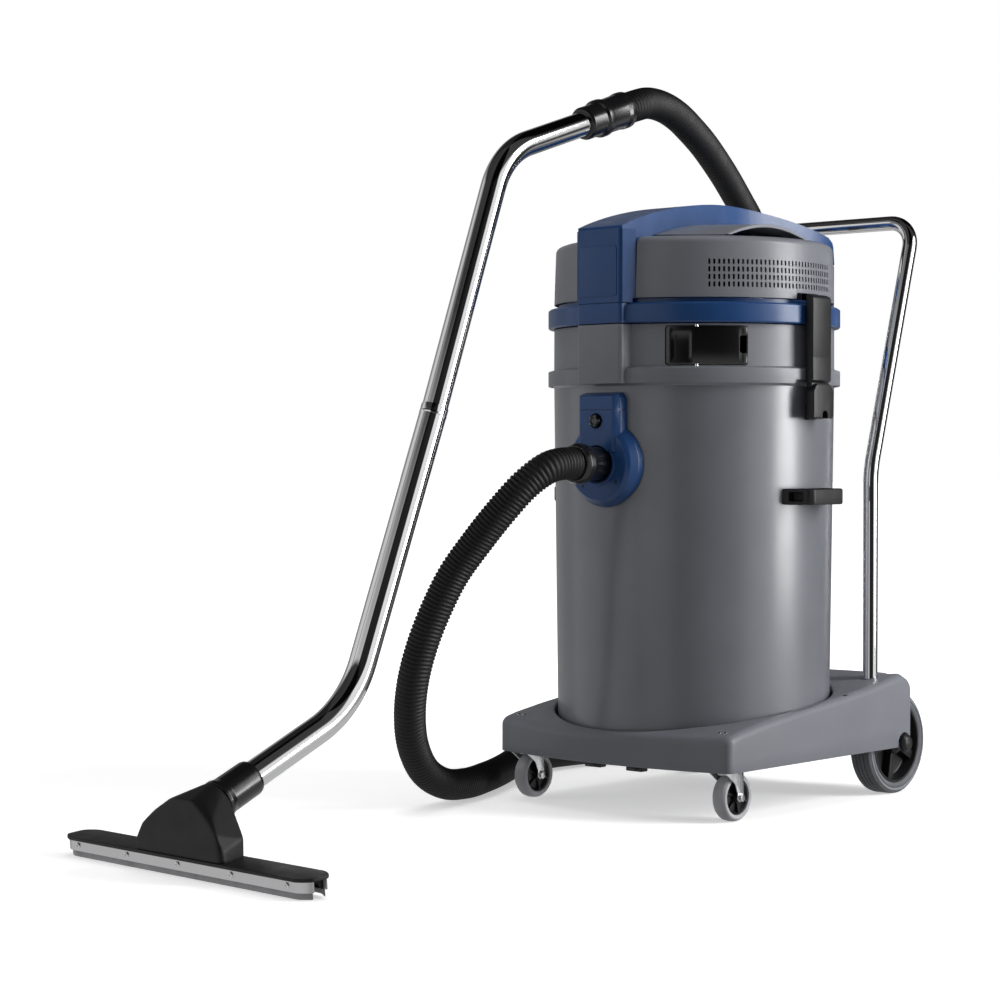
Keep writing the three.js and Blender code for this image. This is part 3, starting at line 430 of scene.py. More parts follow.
class Graph:
    """Adds nodes to a material's tree and links them."""

    def __init__(self, name):
        self.material = bpy.data.materials.new(name)
        self.material.use_nodes = True
        self.tree = self.material.node_tree
        self.shader = self.tree.nodes["Principled BSDF"]
        self.place = self.add("ShaderNodeTexCoord").outputs["Object"]

    def add(self, kind, **settings):
        node = self.tree.nodes.new(kind)
        for key, value in settings.items():
            setattr(node, key, value)
        return node

    def link(self, output, socket):
        self.tree.links.new(output, socket)

    def noise(self, scale, detail=3.0, stretch=None):
        node = self.add("ShaderNodeTexNoise")
        node.inputs["Scale"].default_value = scale
        node.inputs["Detail"].default_value = detail
        place = self.place
        if stretch:
            mapping = self.add("ShaderNodeMapping")
            mapping.inputs["Scale"].default_value = stretch
            self.link(place, mapping.inputs["Vector"])
            place = mapping.outputs["Vector"]
        self.link(place, node.inputs["Vector"])
        return node.outputs["Fac"]

    def between(self, value, low, high, from_low=0.3, from_high=0.7):
        node = self.add("ShaderNodeMapRange")
        for name, number in zip(("From Min", "From Max", "To Min", "To Max"), (from_low, from_high, low, high)):
            node.inputs[name].default_value = number
        self.link(value, node.inputs["Value"])
        return node.outputs["Result"]

    def mixed(self, factor, first, second):
        node = self.add("ShaderNodeMix", data_type="RGBA")
        self.link(factor, node.inputs["Factor"])
        for socket, colour in ((node.inputs["A"], first), (node.inputs["B"], second)):
            if isinstance(colour, tuple):
                socket.default_value = (*colour, 1)
            else:
                self.link(colour, socket)
        return node.outputs["Result"]

    def edges(self, low, high):
        """How far a point is on a convex edge, from 0 to 1."""
        point = self.add("ShaderNodeNewGeometry").outputs["Pointiness"]
        return self.between(point, 0, 1, low, high)

    def bump(self, height, strength, distance):
        node = self.add("ShaderNodeBump")
        node.inputs["Strength"].default_value = strength
        node.inputs["Distance"].default_value = distance
        self.link(height, node.inputs["Height"])
        self.link(node.outputs["Normal"], self.shader.inputs["Normal"])


def linear(red, green, blue):
    """A screen colour of 0 to 255 as linear light."""
    return tuple(round(((c / 255 + 0.055) / 1.055) ** 2.4, 4) for c in (red, green, blue))


def tinted(colour, factor):
    return tuple(min(1.0, c * factor) for c in colour)


def moulded(name, colour, roughness, grain, depth, wear=0.25, coat=0.0):
    """Moulded plastic: fine texture of a grain size in metres, uneven gloss, and paler worn edges."""
    graph = Graph(name)
    mottled = graph.mixed(graph.between(graph.noise(9), 0, 1), tinted(colour, 0.95), tinted(colour, 1.06))
    rubbed = graph.add("ShaderNodeMath", operation="MULTIPLY")
    graph.link(graph.edges(0.52, 0.62), rubbed.inputs[0])
    graph.link(graph.between(graph.noise(60), 0, wear), rubbed.inputs[1])
    pale = tuple(min(1.0, c * 1.5 + 0.03) for c in colour)
    graph.link(graph.mixed(rubbed.outputs[0], mottled, pale), graph.shader.inputs["Base Color"])
    gloss = graph.between(graph.noise(35), roughness - 0.04, roughness + 0.05)
    graph.link(gloss, graph.shader.inputs["Roughness"])
    graph.bump(graph.noise(1 / grain, 2.0), 0.5, depth)
    graph.shader.inputs["Specular IOR Level"].default_value = 0.35
    graph.shader.inputs["Coat Weight"].default_value = coat
    graph.shader.inputs["Coat Roughness"].default_value = 0.24
    return graph.material


def metal(name, colour, roughness, streaks, depth, spread=0.03):
    """Metal whose gloss and surface vary in streaks: streaks are noise scales along x, y and z."""
    graph = Graph(name)
    graph.shader.inputs["Metallic"].default_value = 1.0
    shade = graph.between(graph.noise(6, 2.0), 0, 1)
    graph.link(graph.mixed(shade, tinted(colour, 0.96), colour), graph.shader.inputs["Base Color"])
    streak = graph.noise(1.0, 4.0, stretch=streaks)
    graph.link(graph.between(streak, roughness - spread, roughness + spread), graph.shader.inputs["Roughness"])
    graph.bump(streak, 0.25, depth)
    return graph.material


def rubber(name, colour, roughness=0.75):
    """Rubber with a dusty, finely pitted face."""
    graph = Graph(name)
    dusty = graph.mixed(graph.between(graph.noise(40, 5.0), 0, 1), tinted(colour, 0.85), tinted(colour, 1.15))
    graph.link(dusty, graph.shader.inputs["Base Color"])
    gloss = graph.between(graph.noise(120), roughness - 0.08, roughness + 0.1)
    graph.link(gloss, graph.shader.inputs["Roughness"])
    graph.bump(graph.noise(1400, 2.0), 0.35, 0.0002)
    return graph.material


def felt(name, colour):
    """Needled cloth with short crossing fibres."""
    graph = Graph(name)
    fibres = graph.noise(900, 5.0, stretch=(1, 1, 0.35))
    graph.link(graph.mixed(fibres, tinted(colour, 0.75), colour), graph.shader.inputs["Base Color"])
    graph.shader.inputs["Roughness"].default_value = 0.95
    graph.shader.inputs["Sheen Weight"].default_value = 0.4
    graph.bump(fibres, 0.6, 0.0006)
    return graph.material


GREY = linear(118, 120, 127)
BLUE = linear(26, 66, 118)
BLACK = linear(25, 25, 27)

look = {
    "shell": moulded("grey_shell", GREY, 0.38, 0.0011, 0.00006, coat=0.15),
    "tank": moulded("grey_tank", tinted(GREY, 0.97), 0.32, 0.0016, 0.00005, wear=0.1, coat=0.7),
    "base": moulded("grey_base", tinted(GREY, 0.98), 0.46, 0.0009, 0.00012),
    # a paler copy of the shell grey: painted highlight on the grips' open edges and on the rear wheels' rim
    # rings
    "lip": moulded("grey_painted_highlight", tinted(GREY, 1.35), 0.35, 0.0011, 0.00005),
    "blue": moulded("blue_shell", BLUE, 0.34, 0.0011, 0.00005, wear=0.2, coat=0.2),
    "black": moulded("black_textured", BLACK, 0.42, 0.0008, 0.00010, wear=0.3),
    "nozzle": moulded("black_nozzle", tinted(BLACK, 0.9), 0.5, 0.0007, 0.00012, wear=0.25),
    "hose": moulded("black_hose", tinted(BLACK, 0.4), 0.55, 0.002, 0.00006, wear=0.15),
    "cuff": moulded("black_cuff", tinted(BLACK, 0.7), 0.2, 0.002, 0.00003, wear=0.1, coat=0.5),
    "gloss": moulded("black_gloss", tinted(BLACK, 0.5), 0.12, 0.004, 0.00002, wear=0.1, coat=0.8),
    "chrome": metal("chrome", (0.78, 0.78, 0.79), 0.06, (260, 260, 40), 0.000006),
    "zinc": metal("zinc_plate", (0.70, 0.71, 0.72), 0.28, (500, 500, 60), 0.00002, 0.06),
    "strip": metal("strip_aluminium", (0.68, 0.68, 0.69), 0.36, (14, 900, 900), 0.00003, 0.06),
    "screw": metal("screw_steel", (0.78, 0.78, 0.79), 0.2, (800, 800, 800), 0.00002, 0.05),
    "motor": metal("motor_steel", (0.5, 0.51, 0.52), 0.4, (60, 60, 900), 0.00003, 0.08),
    "caster": rubber("caster_rubber", linear(172, 172, 176), 0.62),
    "tread": rubber("tread_rubber", linear(100, 101, 104)),
    "blade": rubber("blade_rubber", linear(176, 176, 179), 0.7),
    "felt": felt("filter_felt", (0.6, 0.58, 0.52)),
    "white": moulded("white_float", (0.75, 0.75, 0.72), 0.4, 0.0012, 0.00004, wear=0.05),
}

# ---- Making pieces -----------------------------------------------------------------------------------------


def piece(name, solid, body, material, stands_for=(), smooth=32.0):
    """Makes a solid into a named piece that rides on a body and stands for CAD nodes."""
    mesh = mesh_of(solid, MM, AXIS)
    mesh.name = name
    mesh.materials.append(look[material])
    mesh.shade_smooth()
    mesh.set_sharp_from_angle(angle=math.radians(smooth))
    thing = bpy.data.objects.new(name, mesh)
    bpy.context.scene.collection.objects.link(thing)
    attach(thing, body)
    if stands_for:
        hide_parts(*stands_for)
    return thing


def both(name, solid, body, material, stands_for=(), smooth=32.0):
    """Makes the right-hand (+X) piece and its mirror image. Body and nodes get _right and _left added to {}."""
    made = []
    for side, shape in (("right", solid), ("left", mirrored(solid))):
        nodes = [node.format(side) for node in stands_for]
        made.append(piece(f"{name}_{side}", shape, body.format(side), material, nodes, smooth))
    return made


def keep(node, material):
    """A CAD node that stays, with a better material."""
    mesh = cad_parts[node].data
    mesh.materials.clear()
    mesh.materials.append(look[material])
    mesh.shade_smooth()
    mesh.set_sharp_from_angle(angle=math.radians(32))


def screw(radius, height, direction, place, slots=2):
    """A domed screw head with a cross recess, standing on a surface."""
    dome = [(CORE, 0), (radius, 0), (radius, height * 0.35), (radius * 0.8, height * 0.75), (CORE, height)]
    head = turned(dome, 24)
    for k in range(slots):
        angle = math.pi * k / slots
        c, s = math.cos(angle), math.sin(angle)
        bar = block((-radius * 0.65, -radius * 0.12, height * 0.45), (radius * 0.65, radius * 0.12, height * 2))
        x, y, z = bar[0].T
        head = cut(head, (np.column_stack((c * x - s * y, s * x + c * y, z)), bar[1]))
    return on_line(head, place, direction)


# ---- Camera ------------------------------------------------------------------------------------------------


def make_camera():
    camera = bpy.data.objects.new("camera", bpy.data.cameras.new("camera"))
    bpy.context.scene.collection.objects.link(camera)
    camera.data.lens = CAMERA_LENS
    camera.data.sensor_width = 36.0
    camera.data.clip_end = 100.0
    camera.location = Vector(AXIS) + Vector(CAMERA_PLACE)
    camera.rotation_euler = (math.pi / 2 - CAMERA_DROP, 0, CAMERA_HEADING)
    bpy.context.scene.camera = camera


# ---- Hose --------------------------------------------------------------------------------------------------


def fluted(outline, flutes, depth, low, high, sides=216, beyond=22.0):
    """A turned sleeve grooved lengthwise between two heights, wherever its radius is beyond a limit."""
    points, faces = turned(outline, sides)
    angle = np.arctan2(points[:, 1], points[:, 0])
    radius = np.hypot(points[:, 0], points[:, 1])
    wave = np.clip(np.cos(angle * flutes) * 2.5, -1, 1)
    inside = (points[:, 2] > low) & (points[:, 2] < high) & (radius > beyond)
    sunk = np.where(inside, depth * (0.5 - 0.5 * wave), 0.0)
    scale = (radius - sunk) / np.maximum(radius, 1e-6)
    return np.column_stack((points[:, 0] * scale, points[:, 1] * scale, points[:, 2])), faces


def make_hose():
    """The ribbed hose, from the machine's cuff to the wand's, and both cuffs."""
    centre = catmull_rom(HOSE_ROUTE, HOSE_PITCH / 5)
    profile = [25.0, 24.6, 22.9, 22.9, 24.6]
    radii = [profile[k % 5] for k in range(len(centre))]
    hose = piece("ribbed_hose", swept(centre, radii, 28), "base", "hose", ["hose"], smooth=60)
    machine = fluted(
        rounded([
            (19, 228, 0), (26, 228, 0), (27.5, 240, 1), (27.5, 262, 0), (27.5, 274, 1), (30, 277, 1.5),
            (31.5, 284, 2), (31.5, 294, 2), (28, 301, 2), (25.6, 301, 0), (25.6, 292, 0), (19, 292, 0),
        ]),
        12, 2.2, 241, 273,
    )
    near = piece(
        "cuff_machine", facing_front(machine, INLET_Z), "base", "cuff", ["hose_cuff_machine"],
    )
    tip, bend = Vector(WAND_TIP), Vector(WAND_HIGH_BEND[:3])
    direction = (tip - bend).normalized()
    wand = fluted(
        rounded([
            (19.2, 0, 0), (23, 0, 1.5), (25.5, 4, 1.5), (25.5, 34, 1), (29.5, 37, 1.5), (29.5, 46, 1.5),
            (27, 49, 1), (27, 70, 0), (27.5, 86, 1), (29, 92, 1.5), (29, 103, 2), (25.6, 103, 0), (25.6, 97, 0),
            (19.2, 97, 0),
        ]),
        14, 2.0, 5, 33,
    )
    far = piece(
        "cuff_wand", in_tool(on_line(wand, tip - direction * 35, direction)), "base", "cuff",
        ["hose_cuff_wand"],
    )


# ---- Trolley -----------------------------------------------------------------------------------------------


def base_plan():
    half = BASE_HALF
    right = bezier((0, -242.75), (70.7, -242.75), (141.3, -233.7), (212, -215.5), 18)
    right += bezier((212, -215.5), (226, -214), (half, -209), (half, -196), 9)
    right += [(half, y) for y in np.linspace(-180, 262, 30)]
    corner = np.array([half - 14, BASE_REAR_Y - 14])
    right += [tuple(corner + 14 * np.array([math.cos(a), math.sin(a)])) for a in np.linspace(0, math.pi / 2, 7)]
    right += [(x, BASE_REAR_Y) for x in np.linspace(200, 10, 20)]
    left = [(-x, y) for x, y in right[::-1]]
    return right + [(0, BASE_REAR_Y)] + left + [(0, -242.75)]


def deck_height(y):
    """Height of the trolley's top at a distance behind the drum's axis."""
    known_y = [-246, -234, -207, -180, -120, -60, 0, 70, 137, 200, 255]
    known_z = [124, 127, 133, 139, 148.5, 156.5, 163, 170, 178, 187, 196.5]
    z = np.interp(y, known_y, known_z)
    behind = np.clip((y - 255) / (BASE_REAR_Y - 255), 0, 1)
    return np.where(y > 255, 160 + 38 * np.sqrt(np.maximum(1 - behind**2, 0)), z)


def trolley_shell():
    """The trolley's skin: up its outer wall, over the deck, down into the seat and back underneath."""
    plan = base_plan()
    outer = np.array(plan)
    radius = 12.0

    def at(flat, height):
        return np.column_stack((flat, np.broadcast_to(height, len(plan))))

    rings = [at(inset(plan, 3.2), BASE_LOW_Z), at(inset(plan, 0.8), BASE_LOW_Z), at(outer, BASE_LOW_Z + 1.5)]
    rear = np.clip((outer[:, 1] - 240) / 30, 0, 1) * np.clip((230 - np.abs(outer[:, 0])) / 25, 0, 1)
    for share in (0.35, 0.7):
        top = np.minimum(deck_height(outer[:, 1]) - radius, 175)
        rings.append(at(outer, BASE_LOW_Z + (top - BASE_LOW_Z) * share))
    for angle in np.linspace(0, math.pi / 2, 8):
        flat = inset(plan, radius * (1 - math.cos(angle)))
        drop = radius * (1 - math.sin(angle)) * (1 - rear)
        rings.append(at(flat, deck_height(flat[:, 1]) - drop))
    inner = rings[-1][:, :2]
    around = np.arctan2(outer[:, 1], outer[:, 0])
    spread = np.column_stack((np.cos(around), np.sin(around)))
    for share in (0.25, 0.5, 0.75, 1.0):
        flat = inner * (1 - share) + spread * (SEAT_RADIUS + 3) * share
        rings.append(at(flat, deck_height(flat[:, 1])))
    for reach, drop in ((1.5, 0.4), (0.4, 1.5), (0, 3)):
        flat = spread * (SEAT_RADIUS + reach)
        rings.append(at(flat, deck_height(flat[:, 1]) - drop))
    for share, height in ((1, 98.4), (0.6, 98.4), (0.02, 98.4), (0.02, 94.4), (0.98, 94.4)):
        rings.append(at(spread * SEAT_RADIUS * share, height))
    under = inset(plan, radius)
    rings.append(at(under, np.minimum(deck_height(under[:, 1]) - 5, 170)))
    rings.append(at(inset(plan, 4.4), np.minimum(deck_height(outer[:, 1]) - 24, 150)))
    return loft(rings, wrap_rings=True)


def make_trolley():
    cuts = []
    for side in (-1, 1):
        low, high = sorted((side * 171, side * 225))
        cuts.append(block((low, 100, 40), (high, 320, 173.5)))
        cuts.append(prism(circle(227, 190 * side, 12.4, flip=True), 150, 230))
        cuts.append(prism(circle(WHEEL[1], WHEEL[2], 17.5), side * 200, side * 250, "x"))
    shell = cut(trolley_shell(), *cuts)
    piece("trolley_shell", shell, "base", "base", ["trolley_base"], smooth=40)
    sockets = turned([(12.5, 172), (16.5, 172), (16.5, 190), (12.5, 190)], 40)
    both("handle_socket", moved(sockets, (190, 227, 0)), "base", "base")
    hooks = []
    for x in (-41, 42):
        hooks.append(block((x - 16, -206, 66), (x + 16, -190, 96), 2))
        hooks.append(block((x - 7, -214, 70), (x + 7, -190, 84), 2))
    piece("front_hooks", gathered(*hooks), "base", "black")
    screws = []
    for x, y in ((196, -192), (207, -192)):
        screws.append(screw(3.4, 2.0, (0, -0.22, 0.975), (x, y, float(deck_height(np.array(y))) - 0.2)))
    both("deck_screws", gathered(*screws), "base", "screw")


def circle(u, v, radius, sides=40, flip=False):
    """A circular outline. A flipped one has its coordinates swapped."""
    angles = np.linspace(0, 2 * math.pi, sides, endpoint=False)
    points = [(u + radius * math.cos(a), v + radius * math.sin(a)) for a in angles]
    return [(y, x) for x, y in points] if flip else points


def on_axle(solid, centre):
    """A solid made about the Z axis, set on a wheel's axle."""
    return on_line(solid, (0, centre[1], centre[2]), (1, 0, 0))


def wheel_body(outline, centre, sides):
    """A closed outline of (radius, x) turned about a wheel's axle."""
    return on_axle(turned(outline, sides), centre)


def make_casters():
    x, y, z = CASTER
    tyre = rounded([
        (27.4, -11.5, 1.5), (33, -12.5, 3), (36.6, -8, 6), (37.5, 0, 30), (36.6, 8, 6), (33, 12.5, 3),
        (27.4, 11.5, 1.5),
    ])
    tyre = wheel_body([(min(r, z), x + w) for r, w in tyre], CASTER, 64)
    both("caster_tyre_soft", tyre, "caster_wheel_{}", "caster", ["caster_tyre_{}"])
    hub = [
        (4.3, -12), (9, -12), (9, -6), (22, -4), (26, -8.5), (27.3, -8.5), (27.3, 8.5), (26, 8.5), (22, 4),
        (9, 6), (9, 12), (4.3, 12),
    ]
    disc = wheel_body([(r, x + w) for r, w in hub], CASTER, 48)
    ribs = []
    for k in range(6):
        for low, high in ((x - 9, x - 4), (x + 4, x + 9)):
            rib = block((low, -1.1, 8), (high, 1.1, 26))
            ribs.append(rolled(rib, math.pi / 3 * k + 0.2, (0, y, z)))
    hub = join(disc, gathered(*ribs))
    both("caster_hub_ribbed", hub, "caster_wheel_{}", "black", ["caster_hub_{}"])
    leg = rounded([
        (-204, 77.4, 1), (-193, 70, 8), (-178, 59, 12), (-171.5, 44, 8), (-172, 34, 5), (-164, 29.5, 7),
        (-156, 34, 5), (-156.5, 44, 4), (-157, 77.4, 1),
    ])
    legs = []
    for side in (-1, 1):
        low, high = sorted((x + side * 14.2, x + side * 16.9))
        legs.append(prism(leg, low, high, "x", 0.8))
    crown = turned([(CORE, 77), (20, 77), (24.5, 78.5), (25, 80.7), (CORE, 80.7)], 48)
    bridge = block((x - 16.9, -204, 76.6), (x + 16.9, -170, 79.5), 1)
    fork = join(moved(crown, (x, CASTER_STEM_Y, 0)), bridge, *legs)
    fork = cut(fork, on_axle(cylinder(4.2, x - 30, x + 30, 24), CASTER))
    both("caster_fork_pressed", fork, "fork_{}", "zinc", ["caster_fork_{}"])
    bolt = [on_axle(cylinder(4, x - 18, x + 18, 24), CASTER)]
    for side, foot, top in ((1, x + 17, x + 20), (-1, x - 17, x - 20)):
        nut = rounded([
            (CORE, foot, 0), (6.6, foot, 0), (6.6, top, 0.5), (5.6, top + 0.9 * side, 0.5),
            (CORE, top + 1.1 * side, 0),
        ])
        bolt.append(wheel_body(nut, CASTER, 6))
    both("caster_bolt", gathered(*bolt), "fork_{}", "screw", ["caster_axle_{}"])
    for side in ("right", "left"):
        keep(f"caster_plate_{side}", "zinc")


def make_rear_wheels():
    x, y, z = WHEEL
    tyre = rounded([
        (66.2, x - 18, 1), (78, x - 20, 1.5), (83, x - 17, 3), (84, x - 12, 6), (84, x + 12, 6),
        (83, x + 17, 3), (78, x + 20, 1.5), (74, x + 19, 1), (73, x + 20, 0.8), (70.5, x + 20, 0.8),
        (66.2, x + 18, 1),
    ])
    tread = wheel_body([(min(r, z), w) for r, w in tyre], WHEEL, 120)
    grooves = []
    for w in (x - 7, x, x + 7):
        grooves.append(wheel_body([(82.6, w - 0.8), (86, w - 0.8), (86, w + 0.8), (82.6, w + 0.8)], WHEEL, 120))
    both("rear_tyre_tread", cut(tread, *grooves), "rear_wheel_{}", "tread", ["rear_tyre_{}"])
    # a thin ring in the paler grey round each rear wheel's rim: a painted highlight on the rim's edge
    rim = rounded([
        (75.2, x + 19.2, 0.4), (78.6, x + 19.2, 0.4), (78.4, x + 20.6, 0.6), (75.4, x + 20.6, 0.6),
    ], 3)
    both("rear_rim_line", wheel_body(rim, WHEEL, 120), "rear_wheel_{}", "lip")
    hub = rounded([
        (7.8, x - 19, 0), (18, x - 19, 1), (20, x - 6, 3), (58, x - 6, 4), (62, x - 18, 2), (65.9, x - 18, 0.5),
        (65.9, x + 18.5, 1), (62, x + 19, 1), (59, x - 1, 3), (20, x - 1, 3), (18, x + 18, 1), (7.8, x + 18, 0),
    ])
    disc = wheel_body(hub, WHEEL, 96)
    spokes = []
    for k in range(5):
        for low, high, reach in ((x - 2, x + 12, 61), (x - 16, x - 5, 60)):
            spoke = prism([(-4.5, 16), (4.5, 16), (7.5, reach), (-7.5, reach)], low, high, "x", 1.0)
            spokes.append(rolled(spoke, 2 * math.pi / 5 * k + 0.5, (0, y, z)))
    hub = join(disc, gathered(*spokes))
    both("rear_hub_spoked", hub, "rear_wheel_{}", "black", ["rear_hub_{}"])
    cap = rounded([(CORE, 231.4, 0), (14.8, 231.4, 0.5), (14.8, 236, 2.5), (10, 240.5, 6), (CORE, 242, 0)])
    both("axle_cap_domed", wheel_body(cap, WHEEL, 48), "base", "black", ["axle_cap_{}"])
    keep("rear_axle", "zinc")


def make_push_handle():
    path = bent([
        (190, 227, 174), (190, 227, 530, 160), (190, 355, 945, 46), (-190, 355, 945, 46), (-190, 227, 530, 160),
        (-190, 227, 174),
    ], 16)
    piece("handle_tube", swept(path, 12.0, 40), "base", "chrome", ["push_handle"], smooth=60)


# ---- Tank --------------------------------------------------------------------------------------------------


def make_tank():
    outline = rounded([
        (CORE, 99, 0), (TANK_FOOT_RADIUS, 99, 9), (TANK_RADIUS - 0.2, 640, 0), (TANK_RADIUS, 662, 1),
        (229, 668, 2), (229.5, 679, 1), (221, 679, 1), (214, 111, 8), (CORE, 105, 0),
    ], 8)
    hole = facing_front(cylinder(24, 150, 260, 48), INLET_Z)
    piece("tank_drum", cut(turned(outline, 224), hole), "base", "tank", ["tank"])
    flat = rounded([
        (212, -58, 0), (222, -57, 3), (237, -50, 8), (256, -47, 10), (263, -38, 8), (263, 38, 8), (256, 47, 10),
        (237, 50, 8), (222, 57, 3), (212, 58, 0), (212, 35, 0), (246, 31, 4), (252.5, 24, 4), (252.5, -24, 4),
        (246, -31, 4), (212, -35, 0),
    ])
    handle = prism(flat, 478.5, 503.5, "z", 3.2)
    pocket = block((226, -70, 483.5), (249, -40.5, 498.5), 3)
    handle = cut(handle, pocket, cylinder(223.4, 300, 600, 160))
    both("carry_handle", handle, "base", "black", ["side_handle_{}"])


def drum_outside():
    """What the drum's outer face leaves no room for, from the inlet up to the collar."""
    return turned([(CORE, 400), (224.6, 400), (225.6, 700), (CORE, 700)], 224)


def make_inlet():
    disc = turned(rounded([
        (CORE, 190, 0), (69, 190, 0), (67.5, 226, 3), (61, 238, 6), (55.5, 243.2, 2.5), (CORE, 243.2, 0),
    ], 8), 128)
    plan = rounded([
        (-42, -200, 0), (42, -200, 0), (40.5, -236, 6), (33, -247.5, 4), (-33, -247.5, 4), (-40.5, -236, 6),
    ])
    tower = prism(plan, 560, 652, "z", 3)
    brow = prism([(-250, 645), (-250, 700), (-180, 700), (-180, 668)], -60, 60, "x")
    chamfers = []
    for side in (-1, 1):
        chamfers.append(prism([
            (side * 29, 660), (side * 50, 660), (side * 50, 636), (side * 41.5, 641),
        ], -260, -190, "y"))
    body = softened(cut(join(facing_front(disc, INLET_Z), tower), brow, *chamfers), 1.6, 3, 38)
    groove = cut(block((-60, -260, 624.1), (60, -190, 625.9)), block((-38.2, -245.4, 620), (38.2, -190, 630)))
    bore = facing_front(cylinder(28.6, 200, 260, 64), INLET_Z)
    button_hole = facing_front(cylinder(12, 227, 260, 60), BUTTON_Z)
    body = cut(body, groove, bore, button_hole, drum_outside())
    piece("inlet_body", body, "base", "blue", ["inlet_housing"], smooth=36)
    ring = rounded([(28.8, 240, 0), (35.5, 240, 0), (34.5, 245.6, 1), (31, 245.6, 1), (29, 243, 0.5)], 3)
    piece("inlet_ring", facing_front(turned(ring, 96), INLET_Z), "base", "blue")
    dots = []
    for angle in (-52, 40, 128, 220):
        a = math.radians(angle)
        place = (46 * math.sin(a), -242.4, INLET_Z + 46 * math.cos(a))
        dots.append(screw(2.6, 1.6, (0, -1, 0), place))
    piece("inlet_screws", gathered(*dots), "base", "black")
    knob = fluted(
        rounded([
            (CORE, 233, 0), (11, 233, 0.5), (11, 250, 1), (9.8, 253.5, 2), (6, 254.6, 1.5), (4.5, 252.6, 1),
            (CORE, 252.2, 0),
        ]),
        5, 2.4, 240, 256, 120, 8.0,
    )
    piece("inlet_knob", facing_front(knob, BUTTON_Z), "button", "gloss", ["inlet_button"])


# ---- Collar and flap valve ---------------------------------------------------------------------------------


def sector(inner, outer, start, end, low, high, steps=24, soft=0.0):
    """A curved plate between two radii, two angles in degrees from -Y towards +X, and two heights."""
    mid = (inner + outer) / 2
    half = math.radians(end - start) / 2 * mid
    corner = [half - soft * (1 - math.sin(a)) for a in np.linspace(0, math.pi / 2, 6)] if soft else [half]
    across = [-u for u in corner] + corner + list(np.linspace(soft - half, half - soft, steps))
    across = sorted({round(u, 4) for u in across})
    rings = []
    for u in across:
        inward = max(0.0, soft - (half - abs(u)))
        drop = soft - math.sqrt(max(soft**2 - inward**2, 0.0))
        angle = math.radians(start + end) / 2 + u / mid
        ends = [(inner, low + drop), (outer, low + drop), (outer, high - drop), (inner, high - drop)]
        rings.append([(r * math.sin(angle), -r * math.cos(angle), z) for r, z in ends])
    return loft(rings)


def boss(half, front, low, high, radius):
    """The block on the front of the drum, rounded at its front edges and hollowed to a radius."""
    plan = rounded([
        (-half - 10, -205, 0), (half + 10, -205, 0), (half + 1, -231, 9), (half, front, 7), (-half, front, 7),
        (-half - 1, -231, 9),
    ], 6)
    solid = prism(plan, low, high, "z", 1.2)
    return cut(solid, cylinder(radius, low - 10, high + 10, 192))


def make_collar():
    outline = rounded([
        (230.4, 665, 0.8), (RIM_RADIUS, 665, 1.2), (RIM_RADIUS, 689, 1.6), (229, 690.6, 1.2), (225.2, 692, 1),
        (225, 756.5, 0.5), (214, 756.5, 0.5), (214, 753.4, 0), (220.5, 753.4, 0), (220.5, 692, 0),
        (196, 692, 0.5), (196, 686.4, 0.5), (230.4, 686.4, 0),
    ], 4)
    ring = turned(outline, 224)
    opening = sector(217, 241, 26.2, 58.9, 692.2, 753.1, soft=5)
    notch = sector(229, 240, 79, 101, 660, 672, soft=3)
    shell = join(ring, boss(SPINE_HALF, SPINE_FRONT_Y, 665, 756.5, 221))
    shell = cut(shell, opening, notch)
    piece("collar_shell", shell, "collar", "shell", ["collar"])
    # a thin black sheet inside the collar behind the flap's opening: painted shade in the gaps round the flap
    piece("flap_painted_shade", sector(190, 191, 16, 70, 697, 755), "collar", "gloss")
    flap = sector(221.2, 226.6, 26.7, 58.5, 693.4, 752.2, steps=40, soft=5)
    recess = sector(224.2, 230, 28.4, 36.5, 703, 743, soft=6)
    notch = sector(215, 240, 55.4, 60, 711, 738, soft=4)
    plate = softened(cut(flap, recess, notch), 0.7, 2, 50)
    piece("flap_plate", plate, "flap", "gloss", ["flap_valve"], smooth=40)
    ridge = sector(224.0, 226.2, 30.2, 30.9, 708, 738, steps=4)
    piece("flap_ridge", ridge, "flap", "gloss")
    keep("flap_pin", "screw")
    keep("filter", "felt")
    angle = math.radians(38.5)
    heads = []
    for z in (692.6, 753.0):
        head = cylinder(2.9, z - 1.6, z + 1.6, 24)
        heads.append(moved(head, (225.6 * math.sin(angle), -225.6 * math.cos(angle), 0)))
    piece("flap_pin_ends", gathered(*heads), "collar", "screw")


# ---- Head --------------------------------------------------------------------------------------------------


def spine_plan(grow):
    half = SPINE_HALF + grow
    front = SPINE_FRONT_Y - grow
    rear_half = 80 + grow
    right = [(half, 60)] + bezier((half, 60), (half, 135), (rear_half, 205), (rear_half, 280), 16)
    right += [(rear_half - 8, 296 + grow)]
    left = [(-x, y) for x, y in right[::-1]]
    return [(-half + 4, front), (half - 4, front), (half, front + 4)] + right + left + [(-half, front + 4)]


def spine_profile():
    top = [(-238, 907)]
    top += bezier((-238, 907), (-170, 934), (-60, 957), (30, 957), 22)
    top += bezier((30, 957), (120, 957), (200, 938), (266, 919), 18)
    return [(SPINE_FRONT_Y, 789.4), (SPINE_FRONT_Y, 903)] + top + [
        (277, 911), (292, 874.4), (229, 874.4), (229, 884), (-200, 884), (-200, 789.4),
    ]


